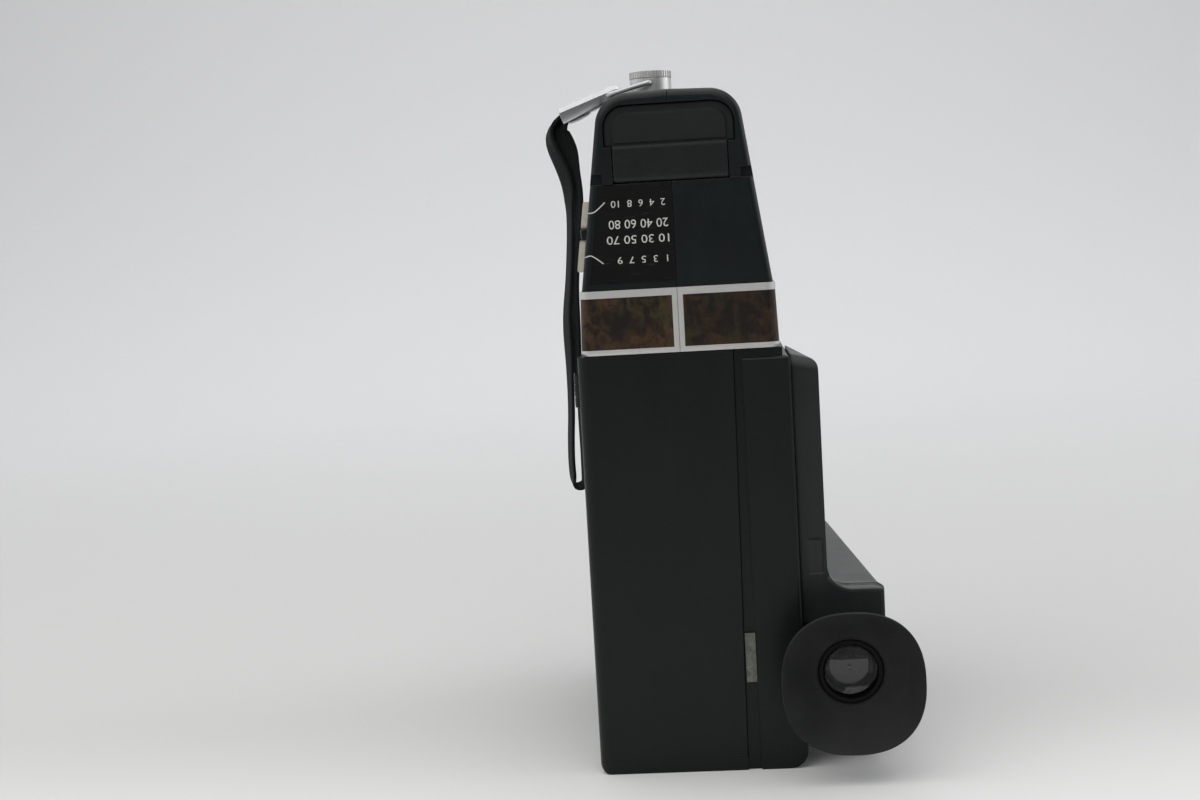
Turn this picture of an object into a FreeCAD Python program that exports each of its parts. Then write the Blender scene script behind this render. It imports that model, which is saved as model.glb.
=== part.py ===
"""Sound movie camera for cartridge film, standing upside down on its flat top.

Millimetres. X = 0 is the seam plane of the grip, +X lies to the right of the viewer who stands behind the camera,
+Y points from the rear face towards the lens, and Z = 0 is the flat top on which the camera stands.
Depths are given as a distance ahead of the rear face.
"""
import FreeCAD, Part
import math
import os

V = FreeCAD.Vector
X_AXIS = V(1, 0, 0)
Y_AXIS = V(0, 1, 0)
Z_AXIS = V(0, 0, 1)

# Main housing
BODY_LEFT = -38.5
BODY_RIGHT = 40.2
BODY_DEPTH = 150.0
BODY_HEIGHT = 158.8
SHOULDER_DROP = 3.2
LEFT_EDGE_RADIUS = 4.5
RIGHT_EDGE_RADIUS = 7.0
SHOULDER_EDGE_RADIUS = 2.0
SHOULDER_REAR_RADIUS = 1.2
TOP_EDGE_RADIUS = 1.0
FRONT_EDGE_RADIUS = 8.0
STRIP_EDGE_RADIUS = 1.5
WALL = 2.5
PAST = 1.0
NECK_RIGHT = 37.4
NECK_SETBACK = 1.6
NECK_DEPTH = 70.0

# Film door in the rear wall, hinged on the left
DOOR_SILL = 4.8
DOOR_GAP = 0.2
DOOR_SILL_GAP = 0.1
DOOR_SEAT_GAP = 0.3
DOOR_EDGE_LOW = 17.5
DOOR_EDGE_HIGH = 19.5
GROOVE_WIDTH = 3.0
GROOVE_DEPTH = 1.2
JAMB_COVER = 0.7
JAMB_THICKNESS = 2.0
HINGE_INSET = 1.2
HINGE_AHEAD = 7.8
HINGE_BEAD_RADIUS = 1.25
HINGE_BEAD_GAP = 0.3
KNUCKLE_RADIUS = 3.2
KNUCKLE_DROP = 3.8
KNUCKLE_LENGTH = 12.1
KNUCKLE_LEAF = 3.6
HINGE_PIN_RADIUS = 1.0
HINGE_PIN_FIT = 0.06
LOWER_PIN_BELOW = 3.0
LOWER_PIN_ABOVE = 4.2

# Leaf spring on the inside of the film door
LEAF_SPRING_RISE = 12.0
LEAF_SPRING_HALF_LENGTH = 17.0
LEAF_SPRING_HALF_WIDTH = 5.0
LEAF_SPRING_BOW = 2.2
LEAF_SPRING_THICKNESS = 0.4
LEAF_SPRING_FOOT = 2.0

# Latch of the film door
LATCH_WIDTH = 3.85
LATCH_SIDE_GAP = 0.2
LATCH_BOTTOM = 33.7
LATCH_HEIGHT = 18.7
LATCH_PROUD = 0.3
LATCH_TRAVEL = 4.0
LATCH_EDGE = 0.4
LATCH_STEM_INSET = 1.15
LATCH_STEM_WIDTH = 1.6
LATCH_STEM_RISE = 6.8
LATCH_STEM_HEIGHT = 6.5
LATCH_ROOT = 0.5
LATCH_CLEARANCE = 0.3
LATCH_BOLT_THICKNESS = 1.8
LATCH_BOLT_WIDTH = 6.2
CATCH_INSET = 0.3
CATCH_WIDTH = 1.9
CATCH_RISE = 5.3
CATCH_HEIGHT = 9.0
CATCH_DEPTH = 4.4

# Film chamber, which takes the sound cartridge
OPTIC_X = 0.0
OPTIC_Z = 44.0
CHAMBER_WIDTH = 26.0
CHAMBER_BOTTOM = 8.0
CHAMBER_HEIGHT = 98.0
CHAMBER_DEPTH = 79.0
CHAMBER_WALL = 2.0
CHAMBER_FACE_GAP = 0.6
CHAMBER_FACE_SIDE_GAP = 0.5
CHAMBER_FACE_LOW_GAP = 0.4
CHAMBER_FACE_JAMB_GAP = 1.6
GATE_HOLE_RADIUS = 5.0
GATE_HALF_WIDTH = 7.0
GATE_HALF_HEIGHT = 16.0
GATE_THICKNESS = 1.4
APERTURE_WIDTH = 5.8
APERTURE_HEIGHT = 4.2
GATE_RAIL_X = 4.2
GATE_RAIL_WIDTH = 1.0
GATE_RAIL_HEIGHT = 0.4

# Sound drive and take-up inside the chamber
CAPSTAN_SETBACK = 8.1
CAPSTAN_RISE = 44.0
CAPSTAN_RADIUS = 1.5
CAPSTAN_LEFT = -7.0
SPINDLE_FIT = 0.08
PLATE_GAP = 0.3
FLYWHEEL_RADIUS = 15.0
FLYWHEEL_THICKNESS = 4.0
FLYWHEEL_HUB_RADIUS = 4.0
FLYWHEEL_RIM = 3.0
PINCH_RADIUS = 4.5
PINCH_NIP = 0.1
PINCH_LEFT = -6.0
PINCH_LENGTH = 8.0
PINCH_PIN_RADIUS = 1.0
PINCH_PIN_FIT = 0.05
SOUND_HEAD_DROP = 10.0
SOUND_HEAD_HEIGHT = 6.0
SOUND_HEAD_WIDTH = 8.0
SOUND_HEAD_DEPTH = 5.0
TAKE_UP_AHEAD = 42.0
TAKE_UP_RADIUS = 5.0
TAKE_UP_REACH = 3.0
TAKE_UP_SHAFT_RADIUS = 2.0
TAKE_UP_PRONGS = 3
TAKE_UP_PRONG_ROOT = 1.0
TAKE_UP_PRONG_REACH = 1.5
TAKE_UP_PRONG_HALF = 0.8
TAKE_UP_GEAR_RADIUS = 12.0
TAKE_UP_GEAR_TEETH = 30
TAKE_UP_GEAR_THICKNESS = 3.0
MOTOR_RADIUS = 10.0
MOTOR_AHEAD = 32.0
MOTOR_BOTTOM = 92.0
MOTOR_LENGTH = 38.0
MOTOR_SHAFT_RADIUS = 1.0
MOTOR_SHAFT_LENGTH = 8.0
MOTOR_BOSS_RADIUS = 3.0
MOTOR_BOSS_HEIGHT = 2.0
BOARD_THICKNESS = 1.6
BOARD_STANDOFF = 2.1
BOARD_FRONT_GAP = 10.0
BOARD_LENGTH = 44.0
BOARD_BOTTOM = 20.0
BOARD_DROP = 17.2
BOARD_POST_RADIUS = 2.0
BOARD_POST_INSET = 5.0

# Lens and front
FRONT_PLATE_THICKNESS = 2.0
FRONT_PLATE_INSET = 5.0
FRONT_PLATE_RADIUS = 5.0
BARREL_RADIUS = 23.0
BARREL_LENGTH = 48.0
BARREL_PROUD = 10.0
BARREL_REAR_TAPER = 3.0
BARREL_TAPER_LENGTH = 8.0
BARREL_FLANGE_RADIUS = 27.0
BARREL_FLANGE_THICKNESS = 2.0
BARREL_LIP_RADIUS = 24.5
BARREL_LIP_LENGTH = 2.0
BARREL_BORE_REAR = 12.0
BARREL_HOLE_GAP = 0.3
FILTER_RADIUS = 20.0
FILTER_DEPTH = 4.0
FRONT_LENS_RADIUS = 18.0
FRONT_LENS_EDGE = 2.5
FRONT_LENS_SETBACK = 6.0
FRONT_LENS_CROWN = 1.6
LENS_SEAT = 2.0
FOCUS_RING_RADIUS = 26.5
FOCUS_RING_LENGTH = 5.2
FOCUS_RING_FIT = 0.05
FOCUS_RING_GAP = 0.3
FOCUS_RING_EDGE = 0.5
FOCUS_FLUTE_COUNT = 36
FOCUS_FLUTE_MARGIN = 1.0
FOCUS_FLUTE_RADIUS = 1.0
METER_RISE = 44.0
METER_RADIUS = 7.0
METER_RIM = 1.0
METER_GLASS_SUNK = 0.8

# Finder housing on the right side
FINDER_ARM_WIDTH = 10.2
FINDER_ARM_EDGE_RADIUS = 3.5
FINDER_ARM_FALL = 2.6
FINDER_ARM_REAR_RADIUS = 4.5
FINDER_ARM_AHEAD = 5.0
FINDER_ARM_END = 50.0
FINDER_ARM_END_WIDTH = 1.1
FINDER_ARM_END_EDGE = 0.5
FINDER_LEG_HEIGHT = 12.0
FINDER_WIDTH_REAR = 31.0
FINDER_WIDTH_FRONT = 19.6
FINDER_LEG_EDGE_RADIUS = 1.2
FINDER_STEP = 1.2
FINDER_BOX_AHEAD = 8.0
FINDER_BOX_BOTTOM = 10.9
FINDER_BOX_HEIGHT = 43.4
FINDER_BOX_EDGE_RADIUS = 6.0
FINDER_PROUD = 5.0
FINDER_ARMPIT_RADIUS = 9.5
FINDER_ARMPIT_END_RADIUS = 2.0
FINDER_ARMPIT_ROOT = 1.0
EYE_REACH = 16.3
EYE_RISE = 28.3
EYE_BORE_DEPTH = 10.0
FINDER_WINDOW_INSET = 3.3
FINDER_WINDOW_WIDTH = 12.0
FINDER_WINDOW_HEIGHT = 17.0
FINDER_WINDOW_DEPTH = 2.0
FINDER_GLASS_THICKNESS = 1.2
COUNTER_INSET = 3.2
COUNTER_WIDTH = 5.6
COUNTER_RISE = 7.0
COUNTER_HEIGHT = 12.5
COUNTER_DEPTH = 1.2
COUNTER_GLASS_THICKNESS = 0.8

# Eyepiece and eyecup; these lie behind the rear face
EYE_TUBE_RADIUS = 12.0
EYE_TUBE_BORE = 10.2
EYE_TUBE_REAR = -11.0
EYE_TUBE_EDGE = 0.6
EYE_LENS_REAR = -4.5
EYE_LENS_EDGE = 2.0
EYE_LENS_CROWN = 1.8
EYECUP_RIM_RADIUS = 26.0
EYECUP_RIM_REAR = -24.0
EYECUP_RIM_DROP = 1.5
EYECUP_THICKNESS = 1.8
EYECUP_SLEEVE_RADIUS = 14.2
EYECUP_SLEEVE_REAR = -9.5
EYECUP_FIT = 0.05
EYECUP_LIP = 1.0
EYECUP_LIP_GAP = 0.4
EYECUP_RIM_ROUND = 0.8
EYECUP_FOOT_ROUND = 1.5

# Trim band between housing and grip
BAND_GAP = 0.2
BAND_HEIGHT = 23.8
BAND_HALF_LOW = 36.8
BAND_HALF_HIGH = 36.0
BAND_PROUD = 0.8
BAND_LENGTH = 75.8
BAND_EDGE_RADIUS = 4.0
BAND_THICKNESS = 2.0
BAND_LOWER_RAIL = 2.0
BAND_BEVEL = 0.7
BAND_BEVEL_HEIGHT = 1.0
BAND_UPPER_RAIL = 2.7
BAND_CENTRE_BAR = 2.0
PANEL_SUNK = 0.15
PANEL_THICKNESS = 0.9
PANEL_GAP = 0.05

# Grip
GRIP_HALF_LOW = 35.25
GRIP_HALF_HIGH = 25.4
GRIP_HEIGHT = 71.2
GRIP_CROWN_RISE = 0.9
GRIP_CROWN_RADIUS = 60.0
GRIP_CORNER_RADIUS = 12.0
GRIP_DEPTH_LOW = 74.0
GRIP_DEPTH_HIGH = 66.0
GRIP_FRONT_RADIUS = 12.0
GRIP_END_RADIUS = 14.0
GRIP_REAR_RADIUS = 2.8
GRIP_SEAM = 0.15
GRIP_WALL = 2.5
GRIP_FLOOR = 2.2
RIM_PROUD = 1.0
RIM_NOTCH_X = 25.2
RIM_NOTCH_HEIGHT = 4.0
RIM_NOTCH_DEPTH = 2.2

# Batteries and their T-shaped door
CELL_RADIUS = 7.0
CELL_LENGTH = 50.0
CELL_GAP = 0.1
CELL_NUB_RADIUS = 2.7
CELL_NUB_HEIGHT = 1.2
CELL_AHEAD = 4.4
CELL_COLUMNS = 3
CELL_ROWS = 2
CHAMBER_CELL_GAP = 0.2
CONTACT_SPACE = 3.2
CONTACT_THICKNESS = 0.4
CONTACT_HALF_WIDTH = 5.0
CONTACT_SPRING_TIP = 2.0
CONTACT_SPRING_FOOT = 4.0
BATTERY_FLOOR = 2.4
BATTERY_ROOF = 4.0
SLOT_SIDE_WALL = 1.4
SLOT_STEM_HEIGHT = 13.4
SLOT_TOP_RADIUS = 8.0
DOOR_PLATE_GAP = 0.3
DOOR_SLAB_THICKNESS = 3.6
DOOR_SLAB_PROUD = 0.8
DOOR_WING_RECESS = 0.8
DOOR_BEVEL_WIDTH = 2.8
DOOR_BEVEL_DEPTH = 0.8
DOOR_PIN_RADIUS = 0.8
DOOR_PIN_FIT = 0.08
DOOR_PIN_REACH = 1.4
DOOR_PIN_END_GAP = 0.2
DOOR_FIELD_INSET = 1.0
DOOR_CONTACT_HALF_WIDTH = 4.0
DOOR_CONTACT_BUMP = 2.2

# Label plate on the left half of the grip
LABEL_RISE = 2.7
LABEL_RIM_GAP = 0.2
LABEL_SEAM_GAP = 0.6
LABEL_MARGIN = 0.3
LABEL_THICKNESS = 0.4

# Sensitivity rocker on the left side of the grip
ROCKER_RISE = 7.2
ROCKER_HEIGHT = 25.8
ROCKER_LOWER_PAD = 11.6
ROCKER_UPPER_PAD = 9.5
ROCKER_EDGE_RADIUS = 0.8
ROCKER_PROUD = 2.4
ROCKER_VALLEY_PROUD = 0.4
ROCKER_SHOULDER = 1.0
ROCKER_INNER = 1.6
ROCKER_BELLY = 4.0
ROCKER_BELLY_HALF = 3.0
ROCKER_POCKET = 4.0
ROCKER_AHEAD = 5.0
ROCKER_WIDTH = 8.0
ROCKER_GAP = 0.5
ROCKER_PIN_RADIUS = 0.7
ROCKER_PIN_FIT = 0.06
ROCKER_PIN_REACH = 1.6

# Release trigger in the front of the grip
TRIGGER_RISE = 7.2
TRIGGER_HEIGHT = 22.0
TRIGGER_HALF_WIDTH = 8.0
TRIGGER_PROUD = 4.5
TRIGGER_HOLLOW = 1.6
TRIGGER_TRAVEL = 3.5
TRIGGER_CLEARANCE = 0.3
TRIGGER_FLANGE = 1.8
TRIGGER_EDGE_RADIUS = 1.5
TRIGGER_HOLLOW_RADIUS = 14.0
SWITCH_HALF_WIDTH = 6.0
SWITCH_DEPTH = 12.0
SWITCH_HALF_HEIGHT = 5.0

# Jacks on the left side of the grip
JACK_AHEAD = 50.0
MICROPHONE_RISE = 10.2
JACK_PITCH = 16.0
JACK_SEAT = 0.2
JACK_BORE = 1.8
JACK_RADIUS = 3.6
JACK_LENGTH = 12.5
JACK_FLANGE_RADIUS = 4.8
JACK_FLANGE_THICKNESS = 0.9

# Wrist strap and its thumb screw
SCREW_X = -6.3
SCREW_AHEAD = 22.0
SOCKET_RADIUS = 5.4
SOCKET_BORE = 3.2
SOCKET_SUNK = 0.4
SCREW_FIT = 0.06
SCREW_HEAD_RADIUS = 7.9
SCREW_HEAD_HEIGHT = 2.4
SCREW_KNURL_COUNT = 44
SCREW_KNURL_RADIUS = 0.35
SCREW_DEPTH = 4.0
COLLAR_RADIUS = 7.8
COLLAR_HEIGHT = 5.3
COLLAR_FOOT_GAP = 0.1
COLLAR_GAP = 0.2
BAIL_RISE = 3.5
WIRE_RADIUS = 0.9
WIRE_HOLE_GAP = 0.15
BAIL_INNER_REACH = 5.0
BAIL_OUTER_REACH = 10.4
BAIL_END_REACH = 5.4
BAIL_LENGTH = 16.1
BAIL_SAG = 3.5
BAIL_BEND = 1.8
CLAMP_NOSE = 1.8
CLAMP_NOSE_RISE = 0.5
CLAMP_LENGTH = 20.0
CLAMP_DROP = 7.1
CLAMP_EDGE_RADIUS = 1.2
CLAMP_WIRE_GAP = 0.1
CLAMP_THICKNESS = 4.2
CLAMP_HALF_WIDTH = 5.0
STRAP_WIDTH = 7.0
STRAP_THICKNESS = 1.5
STRAP_IN_CLAMP = 3.0
STRAP_BEND_RATIO = 0.45
STRAP_END_OFFSET = 0.9
# Middle line of the strap: how far it lies beyond the left side of the housing and below the end of the clamp,
# down the outer strand and up the inner one
STRAP_ROUTE = [
    (4.7, 1.8), (6.5, 5.0), (6.9, 9.1), (5.8, 13.2), (3.8, 18.2), (2.4, 23.8), (1.4, 30.4), (0.9, 37.4),
    (1.2, 44.9), (1.9, 53.4), (2.9, 63.4), (4.1, 72.4), (4.5, 80.4), (4.3, 90.4), (4.5, 100.4), (4.8, 112.4),
    (5.5, 121.4), (5.9, 130.4), (5.7, 135.9), (5.6, 140.7), (1.2, 140.7), (1.1, 135.9), (1.0, 127.4),
    (1.1, 118.4), (1.1, 108.4), (1.2, 101.9), (1.6, 95.4), (1.4, 85.4), (1.0, 74.4), (0.7, 65.4), (-0.1, 56.9),
    (-1.1, 48.9), (-2.0, 41.4), (-2.3, 33.9), (-2.0, 26.4), (-1.3, 18.9), (-0.2, 11.8), (1.9, 5.2),
]

# Places that follow from these sizes
REAR = -BODY_DEPTH / 2
FRONT = BODY_DEPTH / 2
SHOULDER_Z = BODY_HEIGHT - SHOULDER_DROP
SHOULDER_X = DOOR_EDGE_HIGH
GROOVE_RIGHT = DOOR_EDGE_HIGH + GROOVE_WIDTH
JAMB_LEFT = DOOR_EDGE_LOW - JAMB_COVER
HINGE_X = BODY_LEFT + HINGE_INSET
KNUCKLE_TOP = SHOULDER_Z - KNUCKLE_DROP
KNUCKLE_BOTTOM = KNUCKLE_TOP - KNUCKLE_LENGTH
LOWER_PIN_BOTTOM = DOOR_SILL - LOWER_PIN_BELOW
LOWER_PIN_TOP = DOOR_SILL + LOWER_PIN_ABOVE
LATCH_RIGHT = GROOVE_RIGHT - LATCH_SIDE_GAP
LATCH_LEFT = LATCH_RIGHT - LATCH_WIDTH
LATCH_TOP = LATCH_BOTTOM + LATCH_HEIGHT
LATCH_STEM_LEFT = LATCH_LEFT + LATCH_STEM_INSET
LATCH_STEM_RIGHT = LATCH_STEM_LEFT + LATCH_STEM_WIDTH
LATCH_STEM_BOTTOM = LATCH_BOTTOM + LATCH_STEM_RISE
LATCH_STEM_TOP = LATCH_STEM_BOTTOM + LATCH_STEM_HEIGHT
CATCH_RIGHT = DOOR_EDGE_LOW - CATCH_INSET
CATCH_LEFT = CATCH_RIGHT - CATCH_WIDTH
CATCH_BOTTOM = LATCH_BOTTOM + CATCH_RISE
CATCH_TOP = CATCH_BOTTOM + CATCH_HEIGHT
CHAMBER_TOP = CHAMBER_BOTTOM + CHAMBER_HEIGHT
CHAMBER_FACE_AHEAD = WALL + CHAMBER_FACE_GAP
CHAMBER_FACE_LEFT = BODY_LEFT + WALL + CHAMBER_FACE_SIDE_GAP
CHAMBER_FACE_RIGHT = JAMB_LEFT - CHAMBER_FACE_JAMB_GAP
CHAMBER_FACE_BOTTOM = DOOR_SILL + CHAMBER_FACE_LOW_GAP
CHAMBER_FACE_TOP = BODY_HEIGHT - WALL - CHAMBER_FACE_SIDE_GAP
CAPSTAN_AHEAD = CHAMBER_FACE_AHEAD + CHAMBER_DEPTH - CAPSTAN_SETBACK
CAPSTAN_Z = OPTIC_Z + CAPSTAN_RISE
SOUND_HEAD_Z = CAPSTAN_Z - SOUND_HEAD_DROP
BOARD_AHEAD = BODY_DEPTH - BOARD_FRONT_GAP - BOARD_LENGTH
BOARD_TOP = SHOULDER_Z - BOARD_DROP
BARREL_FRONT_AHEAD = BODY_DEPTH + BARREL_PROUD
BARREL_REAR_AHEAD = BARREL_FRONT_AHEAD - BARREL_LENGTH
METER_Z = OPTIC_Z + METER_RISE
FINDER_LENGTH = BODY_DEPTH + FINDER_PROUD
FINDER_ARM_RIGHT = BODY_RIGHT + FINDER_ARM_WIDTH
FINDER_RIGHT_REAR = BODY_RIGHT + FINDER_WIDTH_REAR
FINDER_RIGHT_FRONT = BODY_RIGHT + FINDER_WIDTH_FRONT
FINDER_LEG_BOTTOM = FINDER_BOX_BOTTOM + FINDER_BOX_HEIGHT
FINDER_LEG_TOP = FINDER_LEG_BOTTOM + FINDER_LEG_HEIGHT
EYE_X = BODY_RIGHT + EYE_REACH
EYE_Z = FINDER_BOX_BOTTOM + EYE_RISE
FINDER_WINDOW_LEFT = BODY_RIGHT + FINDER_WINDOW_INSET
FINDER_WINDOW_RIGHT = FINDER_WINDOW_LEFT + FINDER_WINDOW_WIDTH
FINDER_WINDOW_BOTTOM = EYE_Z - FINDER_WINDOW_HEIGHT / 2
FINDER_WINDOW_TOP = EYE_Z + FINDER_WINDOW_HEIGHT / 2
COUNTER_LEFT = BODY_RIGHT + COUNTER_INSET
COUNTER_RIGHT = COUNTER_LEFT + COUNTER_WIDTH
COUNTER_BOTTOM = FINDER_LEG_TOP + COUNTER_RISE
COUNTER_TOP = COUNTER_BOTTOM + COUNTER_HEIGHT
BAND_BOTTOM = BODY_HEIGHT + BAND_GAP
BAND_TOP = BAND_BOTTOM + BAND_HEIGHT
GRIP_TOP = BAND_TOP + GRIP_HEIGHT
GRIP_CROWN = GRIP_TOP + GRIP_CROWN_RISE
GRIP_SPAN = 2 * GRIP_HALF_LOW
CELL_PITCH = 2 * CELL_RADIUS + CELL_GAP
CELLS_HALF_WIDTH = CELL_RADIUS + (CELL_COLUMNS - 1) / 2 * CELL_PITCH
CELLS_HEIGHT = 2 * CELL_RADIUS + (CELL_ROWS - 1) * CELL_PITCH
SLOT_TOP = GRIP_TOP - BATTERY_ROOF
RIM_BOTTOM = SLOT_TOP - CELLS_HEIGHT - 2 * CHAMBER_CELL_GAP
SLOT_HALF_WIDE = GRIP_HALF_HIGH - SLOT_SIDE_WALL
SLOT_WIDE_BOTTOM = RIM_BOTTOM + SLOT_STEM_HEIGHT
BATTERY_END = CELL_AHEAD + CELL_LENGTH + CONTACT_SPACE
LABEL_BOTTOM = BAND_TOP + LABEL_RISE
LABEL_TOP = RIM_BOTTOM - LABEL_RIM_GAP
ROCKER_BOTTOM = BAND_TOP + ROCKER_RISE
ROCKER_TOP = ROCKER_BOTTOM + ROCKER_HEIGHT
ROCKER_LOWER_PAD_TOP = ROCKER_BOTTOM + ROCKER_LOWER_PAD
ROCKER_UPPER_PAD_BOTTOM = ROCKER_TOP - ROCKER_UPPER_PAD
TRIGGER_BOTTOM = BAND_TOP + TRIGGER_RISE
TRIGGER_TOP = TRIGGER_BOTTOM + TRIGGER_HEIGHT
MICROPHONE_Z = BAND_TOP + MICROPHONE_RISE
EARPHONE_Z = MICROPHONE_Z + JACK_PITCH
COLLAR_BOTTOM = GRIP_CROWN + COLLAR_FOOT_GAP
SCREW_HEAD_BOTTOM = COLLAR_BOTTOM + COLLAR_HEIGHT + COLLAR_GAP
SCREW_TIP = GRIP_CROWN - SCREW_DEPTH
BAIL_Z = COLLAR_BOTTOM + BAIL_RISE
BAIL_END_X = SCREW_X - BAIL_LENGTH
BAIL_END_Z = BAIL_Z - BAIL_SAG
CLAMP_RIGHT_X = BAIL_END_X + CLAMP_NOSE
CLAMP_RIGHT_Z = BAIL_END_Z + CLAMP_NOSE_RISE
CLAMP_LEFT_X = CLAMP_RIGHT_X - CLAMP_LENGTH
CLAMP_LEFT_Z = CLAMP_RIGHT_Z - CLAMP_DROP


def ahead(distance):
    """Y of a point this far ahead of the rear face."""
    return REAR + distance


def box(x0, x1, y0, y1, z0, z1):
    return Part.makeBox(x1 - x0, y1 - y0, z1 - z0, V(x0, y0, z0))


def rod(radius, start, axis, length):
    return Part.makeCylinder(radius, length, start, axis)


def rounded_corner(before, corner, after, radius):
    """Start, middle and end of the arc that rounds a corner."""
    back = (before - corner).normalize()
    onward = (after - corner).normalize()
    half = back.getAngle(onward) / 2
    reach = radius / math.tan(half)
    inward = (back + onward).normalize()
    depth = radius / math.sin(half) - radius
    return corner + back * reach, corner + inward * depth, corner + onward * reach


def rounded_wire(points, radii, closed):
    """Straight runs through the points, with a tangent arc at each corner that has a radius."""
    count = len(points)
    stops = []
    for index, point in enumerate(points):
        if radii[index] > 0:
            stops.append(rounded_corner(points[index - 1], point, points[(index + 1) % count], radii[index]))
        else:
            stops.append((point, point, point))
    edges = []
    for index, (enter, middle, leave) in enumerate(stops):
        if radii[index] > 0:
            edges.append(Part.Arc(enter, middle, leave).toShape())
        if closed or index + 1 < count:
            following = stops[(index + 1) % count][0]
            if leave.distanceToPoint(following) > 1e-6:
                edges.append(Part.LineSegment(leave, following).toShape())
    return Part.Wire(edges)


def outline(corners, place):
    """Closed wire through (u, v) or (u, v, radius) corners; place puts a corner in space."""
    points = [place(corner[0], corner[1]) for corner in corners]
    radii = [corner[2] if len(corner) > 2 else 0 for corner in corners]
    return rounded_wire(points, radii, True)


def rear_outline(corners, y):
    return outline(corners, lambda u, v: V(u, y, v))


def plan_outline(corners, z):
    return outline(corners, lambda u, v: V(u, v, z))


def rear_prism(corners, y0, y1):
    """Outline drawn as (x, z), extruded along Y."""
    return Part.Face(rear_outline(corners, y0)).extrude(V(0, y1 - y0, 0))


def plan_prism(corners, z0, z1):
    """Outline drawn as (x, y), extruded along Z."""
    return Part.Face(plan_outline(corners, z0)).extrude(V(0, 0, z1 - z0))


def side_prism(corners, x0, x1):
    """Outline drawn as (y, z), extruded along X."""
    wire = outline(corners, lambda u, v: V(x0, u, v))
    return Part.Face(wire).extrude(V(x1 - x0, 0, 0))


def loft(wires):
    return Part.makeLoft(wires, True, True)


def turned(corners, centre):
    """Solid of revolution about a line along Y; corners are (radius, depth ahead of the rear face)."""
    wire = outline(corners, lambda u, v: V(centre.x + u, ahead(v), centre.z))
    return Part.Face(wire).revolve(V(centre.x, 0, centre.z), Y_AXIS, 360)


def tube(points, radii, radius):
    """Round wire bent along a path of straight runs and arcs."""
    path = rounded_wire(points, radii, False)
    start = Part.Wire(Part.makeCircle(radius, points[0], points[1] - points[0]))
    return path.makePipeShell([start], True, False)


def edge_round(radius, length):
    """Cutter that rounds a block's upper rear edge, which runs from the origin along X."""
    blank = box(-PAST, length + PAST, -PAST, radius, -radius, PAST)
    return blank.cut(rod(radius, V(-PAST, radius, -radius), X_AXIS, length + 2 * PAST))


def around(shape, count, centre, axis):
    """Copies of a shape spaced evenly about an axis."""
    copies = []
    for index in range(count):
        copy = shape.copy()
        copy.rotate(centre, axis, 360.0 * index / count)
        copies.append(copy)
    return copies


# Housing


def door_edge(z):
    """X of the slanting right edge of the film door."""
    return DOOR_EDGE_LOW + (DOOR_EDGE_HIGH - DOOR_EDGE_LOW) * z / SHOULDER_Z


def body_block(inset):
    """Outer form of the housing, or its cavity when inset by the wall."""
    left = BODY_LEFT + inset
    right = BODY_RIGHT - inset
    step = SHOULDER_X - inset
    low = inset
    high = BODY_HEIGHT - inset
    shoulder = SHOULDER_Z - inset
    rear_view = [
        (left, low, LEFT_EDGE_RADIUS - inset), (right, low, RIGHT_EDGE_RADIUS - inset),
        (right, shoulder, max(SHOULDER_EDGE_RADIUS - inset, 0)), (step, shoulder), (step, high),
        (left, high, max(TOP_EDGE_RADIUS - inset, 0)),
    ]
    plan_view = [
        (left, REAR + inset, LEFT_EDGE_RADIUS - inset), (right, REAR + inset, max(STRIP_EDGE_RADIUS - inset, 0)),
        (right, FRONT - inset, FRONT_EDGE_RADIUS - inset), (left, FRONT - inset, FRONT_EDGE_RADIUS - inset),
    ]
    upright = plan_prism(plan_view, low, high)
    return rear_prism(rear_view, REAR + inset, FRONT - inset).common(upright)


def hinge_rod(radius, z0, z1):
    return rod(radius, V(HINGE_X, ahead(HINGE_AHEAD), z0), Z_AXIS, z1 - z0)


def knuckle_leaves(radius, gap):
    """The two knuckles of the housing, above and below the knuckle of the door."""
    low = hinge_rod(radius, KNUCKLE_BOTTOM - gap, KNUCKLE_BOTTOM + KNUCKLE_LEAF + gap)
    high = hinge_rod(radius, KNUCKLE_TOP - KNUCKLE_LEAF - gap, KNUCKLE_TOP + gap)
    return low, high


def door_field(y0, y1, gap, low_gap):
    """Rear region that the film door fills, up to its slanting edge."""
    low = DOOR_SILL + low_gap
    corners = [
        (BODY_LEFT - WALL, low), (door_edge(DOOR_SILL) - gap, low),
        (door_edge(BODY_HEIGHT) - gap, BODY_HEIGHT + PAST), (BODY_LEFT - WALL, BODY_HEIGHT + PAST),
    ]
    return rear_prism(corners, y0, y1)


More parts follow.
